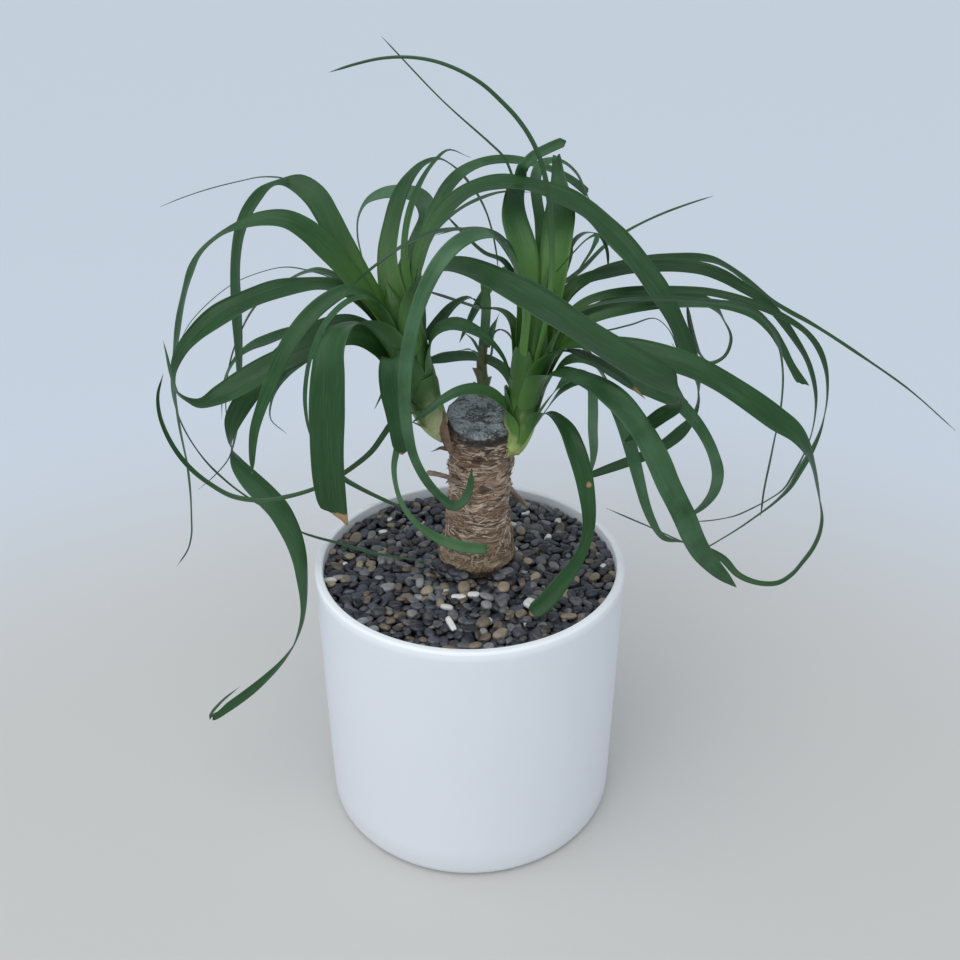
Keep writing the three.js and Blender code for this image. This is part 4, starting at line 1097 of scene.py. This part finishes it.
leafWidths = {
    # node: shares of the frame's width, evenly spaced from its base to its tip
    "left_leaf_01": (0.74, 0.82, 1.0, 1.0, 1.0),
    "left_leaf_02": (0.74, 0.84, 1.0, 1.0, 1.0),
    "left_leaf_06": (0.72, 0.72),
    "left_leaf_16": (0.80, 0.80),
    "left_leaf_20": (0.85, 0.85),
    "left_leaf_21": (0.90, 0.72, 0.72, 0.85),
    "right_leaf_02": (1.15, 1.10, 0.75),
    "right_leaf_04": (0.70, 0.90),
    "right_leaf_05": (0.62, 0.70, 0.90, 1.0),
    "right_leaf_07": (0.75, 0.60),
    "right_leaf_10": (0.55, 0.50),
    "right_leaf_11": (0.50, 0.75, 0.95, 1.50),
    "right_leaf_12": (0.34, 0.45, 0.85, 1.00, 1.50),
    "right_leaf_13": (0.60, 0.70, 1.00),
    "right_leaf_14": (0.75, 0.80, 1.50, 1.80),
    "right_leaf_15": (1.00, 1.00, 1.50, 1.50),
    "right_leaf_18": (1.0, 0.88, 1.0),
    "right_leaf_21": (0.95, 0.75, 0.72, 0.75),
}

newEnds = {
    # node: length left off its end, way the new rows face if not as before,
    # then rows of x, y, z and width, lengths in millimetres
    "left_leaf_18": (64, None, ((125.4, -107.3, 406.8, 25.5),)),
    "right_leaf_21": (34, (0.25, -0.9, 0.35), (
        (-10.5, -40, 287.2, 7), (-3.5, -38, 290.5, 6.2), (0.5, -37.5, 300.5, 5.5), (1.8, -38, 313, 3))),
    "right_leaf_01": (40, (0.1, -0.8, 0.5), (
        (37.5, 48, 502.1, 7.4), (44.3, 52, 507.9, 7.2), (51.9, 55, 511.2, 7.2), (59.4, 58, 513.9, 7.2),
        (66.3, 60, 516.2, 7))),
    "right_leaf_13": (12, None, ((231, -7.8, 366.5, 8.5),)),
}

extraTraits = {
    # name: nodes it stands for, way it faces, then traits as above
    "fold_tail": (["left_leaf_18"], (0.0, -0.8, 0.5), 0.30, 0.003),
    "spear_right": ([], (0.2, -1.0, 0.55), 0.42, 0.002),
    "husk_left_1": ([], (-0.4, -1.0, 0.2), 0.5, 1.0, "notch", 0.2),
    "husk_left_2": ([], (-0.1, -1.0, 0.1), 0.4, 1.0, "notch", -0.3),
    "husk_left_3": ([], (0.1, -1.0, 0.4), 0.4, 1.0),
    "husk_right": ([], (0.3, -1.0, 0.3), 0.4, 1.0, "notch", 0.1),
}

extraLeaves = {
    # name: rows of x, y, z and width in millimetres
    "fold_tail": (
        (126.2, -100, 396, 6.5), (127.6, -84, 383.8, 9.5), (124.3, -66, 370, 10), (120, -54, 358.6, 9.5),
        (114.6, -46, 348.8, 8), (109, -42, 341.6, 4.5)),
    "bridge": (
        (30.4, 6, 448.4, 7.5), (24.1, 0, 464.8, 8), (3.3, -12, 474.5, 8), (-19.2, -22, 475.9, 7.6),
        (-39.1, -28, 469.3, 7.2), (-58.1, -32, 457.1, 6.2), (-74.4, -34, 443.5, 4)),
    "husk_left_1": ((-16, -3, 315, 4), (-17.8, -3, 324, 6), (-18.3, -1.4, 333, 5), (-17.8, 1.5, 341, 3)),
    "husk_left_2": ((-12.5, -7, 312, 4), (-14.8, -7.2, 319, 5), (-16.2, -6, 327, 4), (-16.6, -4, 334, 2)),
    "husk_left_3": ((-15, -1, 312, 3), (-20.5, -1.5, 313.5, 3), (-25, -2.5, 312, 2)),
    "husk_right": ((23, -7.5, 308, 4), (26.2, -7, 304, 4), (29.5, -5.5, 301, 2)),
    "hair_left": (
        (-82, 20, 428, 1.8), (-109, 46, 429, 1.8), (-133, 62, 428, 1.8), (-156, 74, 420, 1.7),
        (-178, 82, 409, 1.6), (-200, 88, 392, 1.5), (-217, 92, 375, 1.3), (-226, 94, 362, 1)),
    "short_left": ((-47, -12, 385, 11), (-53, -18, 375, 13), (-59, -20, 364, 8)),
    "spear_right": ((53.5, 10, 412, 8), (58, 20, 426.7, 12), (64.6, 37, 447.7, 16), (69.4, 51, 464, 12)),
    "curl_right": (
        (59, 6, 442, 4), (70, 4, 456, 4), (78, 2, 465, 4), (84, 0, 468, 4), (81, -4, 460, 3),
        (72, -8, 447, 2)),
    "arch_back": (
        (39, 30, 414, 6), (25, 48, 436, 6), (11, 56, 440, 6), (-2, 62, 450, 5), (-15, 66, 463, 3)),
    "hair_right": (
        (62, -2, 404, 2.5), (91, 8, 399, 2.2), (113, 18, 400, 2.2), (131, 26, 402, 2), (142, 28, 393, 2),
        (150, 26, 377, 1.8), (144, 20, 385, 1.4)),
    "short_middle": (
        (-30, 6, 394, 10), (-20, 20, 403, 10), (-10, 30, 411, 9), (1, 36, 414, 7), (9, 40, 405, 3)),
    "back_small_1": ((7, 44, 370, 5), (2, 40, 381, 5), (-4, 36, 388, 2)),
    "back_small_2": ((7, 36, 370, 5), (1, 30, 377, 4), (-6, 26, 378, 2)),
    "back_small_3": ((13, 50, 371, 5), (17, 58, 382, 5), (21, 62, 390, 2)),
    "tail_left": (
        (-118, 25, 497.5, 2), (-122.4, 25, 499, 2.4), (-136, 27, 499.3, 2.4), (-151.4, 30, 496, 2.2),
        (-176, 33, 489.5, 1.9), (-195, 36, 483, 1.6), (-208, 38, 477.7, 1.2)),
}


def leafShader(look):
    shader = Shader("leaf_green")
    ruler = shader.layer("leafUv")  # metres across and along
    shares = shader.layer("leafShare")  # -1 to 1 across, 0 to 1 along
    # the tone is partly each leaf's own colour and partly painted light and shade
    tone = shader.attribute("leafTone")
    dry = shader.attribute("dryness")
    fresh = shader.attribute("freshness")
    under = shader.attribute("underside")
    acrossShare = shader.maths("ABSOLUTE", shares.part(0))
    alongShare = shares.part(1)
    seeded = shader.node("CombineXYZ", {}, {2: tone * 37.0})
    moved = shader.node("VectorMath", {"operation": "ADD"}, {0: ruler, 1: seeded})
    veins = moved.stretch((1.0, 0.012, 1.0)).noise(2600.0, 2.0, 0.6)
    bands = moved.stretch((1.0, 0.05, 1.0)).noise(520.0, 3.0, 0.55)
    cloud = moved.noise(42.0, 3.0)
    speck = moved.noise(900.0, 3.0, 0.7)
    mixed = (tone * 0.45 + bands * 0.45 + cloud * 0.35 - 0.10).fade(0.10, 0.95)
    withered = (dry + (cloud - 0.5) * 0.5 + (veins - 0.5) * 0.3).fade(0.35, 0.62)
    colour = shader.coats(look["deep"], (mixed, look["middle"]),
                          ((tone + (cloud - 0.5) * 0.5).fade(0.45, 1.25), look["light"]),
                          (veins.fade(0.52, 0.78) * 0.28, look["light"]),
                          (veins.fade(0.46, 0.28) * 0.35, look["deep"]),
                          (under * 0.28, look["under"]),
                          (acrossShare.fade(0.90, 1.0) * 0.25, look["light"]),
                          (fresh.fade(0.0, 0.75) * 0.8, look["fresh"]),
                          (fresh.fade(0.80, 1.0), look["pale"]),
                          (alongShare.fade(0.72, 1.0) * 0.30, look["deep"]),
                          (speck.fade(0.66, 0.76) * 0.20, look["tan"]),
                          (withered, look["tan"]))
    rough = 0.29 + 0.14 * cloud + 0.08 * veins + 0.30 * withered
    bump = veins * 0.6 + bands * 0.8 + speck * 0.1
    return shader.surface(colour, rough, bump, 0.00022, {"Specular IOR Level": 0.30})


leafMaterial = leafShader(leafLook)


def bladeRings(node, shootTree):  # rings of four corners, from the shoot to the tip
    mesh = node.data
    spots = {}
    corners = []
    lookUp = []
    for vertex in mesh.vertices:
        key = tuple(round(value, 6) for value in vertex.co)
        if key not in spots:
            spots[key] = len(corners)
            corners.append(vertex.co.copy())
        lookUp.append(spots[key])
    joined = [set() for corner in corners]
    patches = {}
    for polygon in mesh.polygons:
        ring = [lookUp[index] for index in polygon.vertices]
        for first, second in zip(ring, ring[1:] + ring[:1]):
            joined[first].add(second)
            joined[second].add(first)
            patches.setdefault(frozenset((first, second)), set()).update(ring)
    chains = []
    for patch in patches.values():  # only the patch that closes an end gives four corners all the way
        layer = patch
        rings = []
        seen = set()
        while layer:
            rings.append(sorted(layer))
            seen |= layer
            layer = {other for index in layer for other in joined[index]} - seen
        if all(len(ring) == 4 for ring in rings):
            gap = sum(shootTree.find_nearest(corners[index])[3] for index in rings[0])
            chains.append((gap, rings))
    if not chains:
        raise ValueError(node.name + " has no row of rings")
    return [[corners[index] for index in ring] for ring in min(chains)[1]]


def bladeFrames(rings):  # rows of middle, face direction and width
    rows = []
    for ring in rings:
        pairs = [((ring[i] - ring[j]).length, i, j) for i in range(4) for j in range(i)]
        width, i, j = max(pairs)
        others = [ring[k] for k in range(4) if k not in (i, j)]
        edgeMiddle = (ring[i] + ring[j]) / 2
        spine = (others[0] + others[1]) / 2
        face = (edgeMiddle - spine).normalized()
        rows.append([*((edgeMiddle + spine) / 2), *face, width])
    return np.array(rows)


def rowFrames(rows, facing):  # the same for a leaf given as rows of x, y, z and width
    rows = np.array(rows) / 1000
    _, _, front = framesAlong(rows[:, :3], facing)
    return np.column_stack([rows[:, :3], -front, rows[:, 3]])


def claspRows(rows, shoot, look):  # rows that rise out of the shoot and swing over into the leaf
    curve, travelled, heading, *_ = shoot
    first = rows[0, :3]
    nearest = int(np.argmin(np.linalg.norm(curve[:, :3] - first, axis=1)))
    outward = first - curve[nearest, :3]
    outward = unit(outward - heading[nearest] * (outward @ heading[nearest]))
    at = max(travelled[nearest] - look["clasp"], travelled[0] + look["leadStart"])
    index = int(np.argmin(np.abs(travelled - at)))
    out = unit(outward - heading[index] * (outward @ heading[index]))
    start = curve[index, :3] + out * curve[index, 3] * look["claspDepth"]
    along = distances(rows)
    farthest, farthestShare = look["meet"]
    meet = int(np.searchsorted(along, min(farthest, along[-1] * farthestShare)))
    meet = min(max(meet, 1), len(rows) - 2)
    end = rows[meet, :3]
    leaving = unit(rows[meet + 1, :3] - rows[meet - 1, :3])
    pull = np.linalg.norm(end - start)
    count, startPull, endPull = look["lead"]
    before = start + (heading[index] * 0.9 + out * 0.25) * pull * startPull
    after = end - leaving * pull * endPull
    lead = []
    for share in np.linspace(0, 1, count, endpoint=False):
        rest = 1 - share
        spot = start * rest ** 3 + before * 3 * rest ** 2 * share
        spot = spot + after * 3 * rest * share ** 2 + end * share ** 3
        turn = float(step(share, 0.0, 1.0))
        lead.append([*spot, *(-out * (1 - turn) + rows[meet, 3:6] * turn), rows[meet, 6]])
    return np.array(lead), rows[meet:], float(1 - step(at, *look["lowBase"]))


endLook = {
    # lengths, depths and half widths are in leaf widths
    "point": (2.2, 0.010, 0.8),  # length, at least this in metres, and how full
    "pointLeast": 0.03,
    "round": (0.62, 0.12),  # length, and least width
    "blunt": (0.10, 0.10),  # length, and share of the width lost
    "cut": (0.5, 0.0004, 7),  # how far the corners reach, and its ragged edge
    "nick": (0.22, 0.30),
    "notch": (0.42, 0.30, 0.22),  # depth, half width, and how far the corners reach
}


def endFactor(kind, left, width):  # share of the full width at a distance before the end
    if kind == "point":
        widths, least, fullness = endLook["point"]
        return float(np.clip(left / max(least, widths * width), endLook["pointLeast"], 1) ** fullness)
    if kind == "round":
        widths, least = endLook["round"]
        share = np.clip(left / (widths * width), 0, 1)
        return float(max(least, math.sqrt(1 - (1 - share) ** 2)))
    widths, lost = endLook["blunt"]
    share = np.clip(left / (widths * width), 0, 1)
    return (1 - lost) + lost * float(share)


def endShift(kind, slant, u, width, seed):  # how far the end reaches along the leaf at u across it
    if kind == "cut":
        reach, ragged, teeth = endLook["cut"]
        return slant * u * width * reach + ragged * math.sin(u * teeth + seed)
    if kind == "nick":
        depth, wide = endLook["nick"]
        return -depth * width * math.exp(-((u - slant) / wide) ** 2)
    if kind == "notch":
        depth, wide, reach = endLook["notch"]
        return width * (reach * abs(u - slant) - depth * math.exp(-((u - slant) / wide) ** 2))
    return 0.0


def leafFaces(count, loop, columns):  # faces, and where their corners lie in the bake
    perColumn = math.ceil((count - 1) / columns)
    faces = []
    bakes = []
    for index in range(count - 1):
        column = index // perColumn
        low, high = (0.01 + 0.97 * (row - column * perColumn) / perColumn for row in (index, index + 1))
        for side in range(loop):
            a = index * loop + side
            b = index * loop + (side + 1) % loop
            left, right = ((column + 0.02 + 0.95 * edge / loop) / columns for edge in (side, side + 1))
            faces.append((a, a + loop, b + loop, b))
            bakes += [(left, low), (left, high), (right, high), (right, low)]
    last = (count - 1) * loop
    for side in range(loop // 2 - 1):  # the two ends
        face = (side, side + 1, loop - 2 - side, loop - 1 - side)
        faces.append(face)
        faces.append((last + face[1], last + face[0], last + face[3], last + face[2]))
        bakes += [(0.995, 0.995)] * 8
    return faces, bakes


def claspWidth(name, look, s, w, fullWidth, lowness, near):  # the base broadens to hold the shoot
    most, lost = look["claspMost"]
    widths, more = look["claspWidth"]
    least, gained, over = look["footWidth"]
    broad = min(most * (1 - lost * lowness), more + fullWidth * widths)
    broad = w * leafBases[name] if name in leafBases else max(w, broad)
    return (w + (broad - w) * near) * (least + gained * float(step(s, 0.0, over)))


def leafEnd(tone, dryLength, kind="point", slant=0.0):  # traits, with the usual end where none is given
    return tone, dryLength, kind, slant


def buildLeaf(name, rows, traits, standsFor, look, seed, shoot=None, papery=False):
    tone, dryLength, kind, slant = leafEnd(*traits)
    rng = np.random.default_rng(seed)
    clasp = 0.0
    lowness = 0.0
    if shoot:
        lead, rows, lowness = claspRows(rows, shoot, look)
        clasp = distances(lead)[-1] * look["leadShare"]
        rows = np.vstack([lead, rows])
    if kind == "point":
        longest, widths = look["tail"]
        tail = rows[-1].copy()
        tail[:3] += unit(rows[-1, :3] - rows[-2, :3]) * min(longest, widths * rows[-1, 6])
        rows = np.vstack([rows, tail])
    count = max(14, int(distances(rows)[-1] / look["spacing"]))
    curve, travelled = smoothCurve(rows, count)
    length = travelled[-1]
    middle = curve[:, :3]
    width = curve[:, 6]
    heading = unit(np.gradient(middle, axis=0))
    face = curve[:, 3:6]
    face = unit(face - heading * np.sum(face * heading, axis=1, keepdims=True))
    across = np.cross(heading, face)
    fullWidth = np.interp(look["claspFade"] + clasp + 0.010, travelled, width)
    startHeight, laterHeight = np.interp((clasp, clasp + look["climb"]), travelled, middle[:, 2])
    steep = min(max((laterHeight - startHeight) / look["climb"], 0.0), 1.0)
    freshEnd = clasp + look["freshReach"][0] + look["freshReach"][1] * steep
    fresh = look["freshness"].get(name.split("_")[0], 0.0) * (0.75 + 0.55 * steep)
    segments = look["segments"]
    hug = look["hug"]
    thinShare, thinLate = look["thinEdge"]
    rippleSize, rippleLength = look["ripple"]
    *witheredAt, witheredSize = leafSpots.get(name, (0.0, 0.0, 0.0, 0.0))
    points, drys, freshes, unders, places = [], [], [], [], []
    waveA, waveB = rng.uniform(0, math.tau, 2)
    waveLength = rng.uniform(*look["waveLength"])
    for index in range(count):
        s = travelled[index]
        left = length - s
        w = width[index]
        near = 0.0
        freshNow = leafRipeness.get(name, 0.0) * s / length
        if shoot:
            near = 1 - float(step(s, clasp, clasp + look["claspFade"]))
            w = claspWidth(name, look, s, w, fullWidth, lowness, near)
            freshNow += fresh * float(1 - step(s, 0.0, freshEnd))
            freshNow += (1 - freshNow) * lowness * float(1 - step(s, *look["lowFresh"]))
        w = w * endFactor(kind, left, max(w, 0.003))
        endShare = float(step(left, look["endReach"], 0.0))
        channel = look["fold"] * (1 + 0.4 * near)
        wave = look["wave"] * math.sin(s / waveLength * math.tau + waveA) * (1 - near)
        thickness = look["thickness"] * (1 - look["thinEnd"] * endShare)
        edge = []
        for u in np.linspace(-1, 1, segments + 1):
            rise = w * (channel * (2 * abs(u) ** 1.4 - 1) + wave * u * abs(u))
            rise += w * rippleSize * math.sin(s / rippleLength + waveB + u * 2.0) * abs(u) ** 3
            if near > 0:
                wrapped = hug - math.sqrt(max(0.0, hug ** 2 - min(abs(u) * w / 2, hug * 0.92) ** 2))
                rise = rise * (1 - near ** 2) + (wrapped - look["sunk"]) * near ** 2
            edge.append((u, rise, endShift(kind, slant, u, w, seed) * endShare))
        for side, ordered in ((1, edge), (-1, edge[::-1])):
            for u, rise, shift in ordered:
                keel = 1 - thinShare * abs(u) ** thinLate
                spot = (middle[index] + across[index] * (u * w / 2)
                        + face[index] * (rise + side * thickness * keel / 2) + heading[index] * shift)
                dry = float(step(left - shift, dryLength, 0.0)) if dryLength > 0 else 0.0
                if witheredSize > 0:
                    dry = max(dry, math.exp(-(math.dist(spot, witheredAt) / witheredSize) ** 2))
                points.append(spot)
                drys.append(dry)
                freshes.append(freshNow)
                unders.append(0.0 if side > 0 else 1.0)
                places.append((u * w / 2, s, u, s / length))
    columns = max(1, round(math.sqrt(length / (2.3 * max(0.004, width.max())))))
    faces, bakes = leafFaces(count, 2 * (segments + 1), columns)
    corners = np.array(places)[np.ravel(faces)]
    if papery:
        attributes = barkLayers(len(points), 0.22)
    else:
        attributes = {"leafTone": [tone] * len(points), "dryness": drys, "freshness": freshes,
                      "underside": unders}
    addPiece(name, points, faces, barkMaterial if papery else leafMaterial,
             standsFor,
             {"leafUv": corners[:, :2], "leafShare": corners[:, 2:], "OFBake": bakes}, attributes)


def treeOf(node):
    mesh = node.data
    return BVHTree.FromPolygons([vertex.co for vertex in mesh.vertices],
                                [tuple(polygon.vertices) for polygon in mesh.polygons])


def trimmedRows(rows, drop, facing, ends):  # new rows in place of a length of the end
    travelled = distances(rows)
    rows = rows[travelled[-1] - travelled > drop / 1000]
    was = rows[-1, 3:6]
    face = was if facing is None else np.array(facing)
    face = face if face @ was > 0 else -face
    return np.vstack([rows] + [[*end[:3], *face, end[3]] for end in np.array(ends) / 1000])


def buildLeaves(look):
    rng = np.random.default_rng(99)
    for side in ("left", "right", "back"):
        shootNode = side + "_shoot"
        tree = treeOf(cadNodes[shootNode])
        shoot = None if side == "back" else shootFrames(shootLook[side], 90)
        for nodeName in sorted(name for name in cadNodes if name.startswith(side + "_leaf_")):
            spread = float(rng.uniform(0.15, 0.75))
            rows = bladeFrames(bladeRings(cadNodes[nodeName], tree))
            scales = leafWidths.get(nodeName, (1.0, 1.0))
            at = np.linspace(0, len(scales) - 1, len(rows))
            rows[:, 6] *= np.interp(at, np.arange(len(scales)), scales)
            if nodeName in newEnds:
                rows = trimmedRows(rows, *newEnds[nodeName])
            usual = (spread + leafToneAndShade.get(nodeName, 0.0), 0.004 if spread > 0.4 else 0.0)
            traits = leafTraits.get(nodeName, usual)
            seed = 200 + len(nodeName) * 7 + int(nodeName[-2:]) + (100 if side == "right" else 0)
            buildLeaf(nodeName.replace("leaf", "blade"), rows, traits, [nodeName], look, seed, shoot)
    for index, (leafName, rows) in enumerate(extraLeaves.items()):
        usual = ([], (0.0, 0.0, 1.0), 0.95 if leafName.startswith("back") else 0.4, 0.004)
        standsFor, facing, *traits = extraTraits.get(leafName, usual)
        buildLeaf("thin_" + leafName, rowFrames(rows, facing), traits, standsFor, look, 500 + index,
                  papery=leafName.startswith("husk"))


buildLeaves(leafLook)
print("leaves built")


# floor, light and camera

stageLook = {
    "floor": tint(0.602, 0.588, 0.568),
    "beyond": tint(0.638, 0.688, 0.752),
    "beyondCentre": (0.0, -0.35, 0.0),
    "beyondFrom": (0.55, 1.15),  # the floor turns to its cooler colour between these distances
    "size": 30.0,
    "world": tint(0.84, 0.92, 1.0),
    "worldStrength": 0.62,
    "sun": (1.18, 70.0, (24.0, -12.0, 0.0)),  # strength, and width and turn in degrees
    "target": (0.0078, 0.0, 0.2862),
    "distance": 0.738,
    "pitch": 28.82,
    "lens": 37.5,
    # place, aimed at, size, watts, colour
    "softbox": ((-0.9, -1.4, 1.3), (0.0, 0.0, 0.25), 1.2, 4.0, (1.0, 0.99, 0.97)),
}


def buildStage(look):
    half = look["size"] / 2
    mesh = bpy.data.meshes.new("floor")
    mesh.from_pydata([(-half, -half, 0), (half, -half, 0), (half, half, 0), (-half, half, 0)], [],
                     [(0, 1, 2, 3)])
    floor = addObject("floor", mesh)
    shader = Shader("floor_pale")
    place = shader.place()
    cloud = place.noise(3.0, 3.0)
    colour = shader.blend(cloud * 0.15, look["floor"], tint(0.56, 0.55, 0.53))
    away = shader.node("VectorMath", {"operation": "DISTANCE"}, {0: place, 1: look["beyondCentre"]}, "Value")
    colour = shader.blend(away.fade(*look["beyondFrom"]), colour, look["beyond"])
    mesh.materials.append(shader.surface(colour, 0.75))
    scene = bpy.context.scene
    world = bpy.data.worlds.new("sky")
    world.use_nodes = True
    background = world.node_tree.nodes["Background"]
    background.inputs["Color"].default_value = look["world"]
    background.inputs["Strength"].default_value = look["worldStrength"]
    scene.world = world
    place, aim, size, watts, colour = look["softbox"]
    data = bpy.data.lights.new("softbox", "AREA")
    data.shape = "DISK"
    data.size = size
    data.energy = watts
    data.color = colour
    addObject("softbox", data, place, (Vector(aim) - Vector(place)).to_track_quat("-Z", "Y").to_euler())
    strength, width, turn = look["sun"]
    data = bpy.data.lights.new("soft_sun", "SUN")
    data.energy = strength
    data.angle = math.radians(width)
    addObject("soft_sun", data, rotation=[math.radians(angle) for angle in turn])
    pitch = math.radians(look["pitch"])
    data = bpy.data.cameras.new("camera")
    data.lens = look["lens"]
    away = Vector((0.0, -math.cos(pitch), math.sin(pitch))) * look["distance"]
    scene.camera = addObject("camera", data, Vector(look["target"]) + away, (math.pi / 2 - pitch, 0.0, 0.0))
    scene.view_settings.view_transform = "Standard"


buildStage(stageLook)
print("stage built")
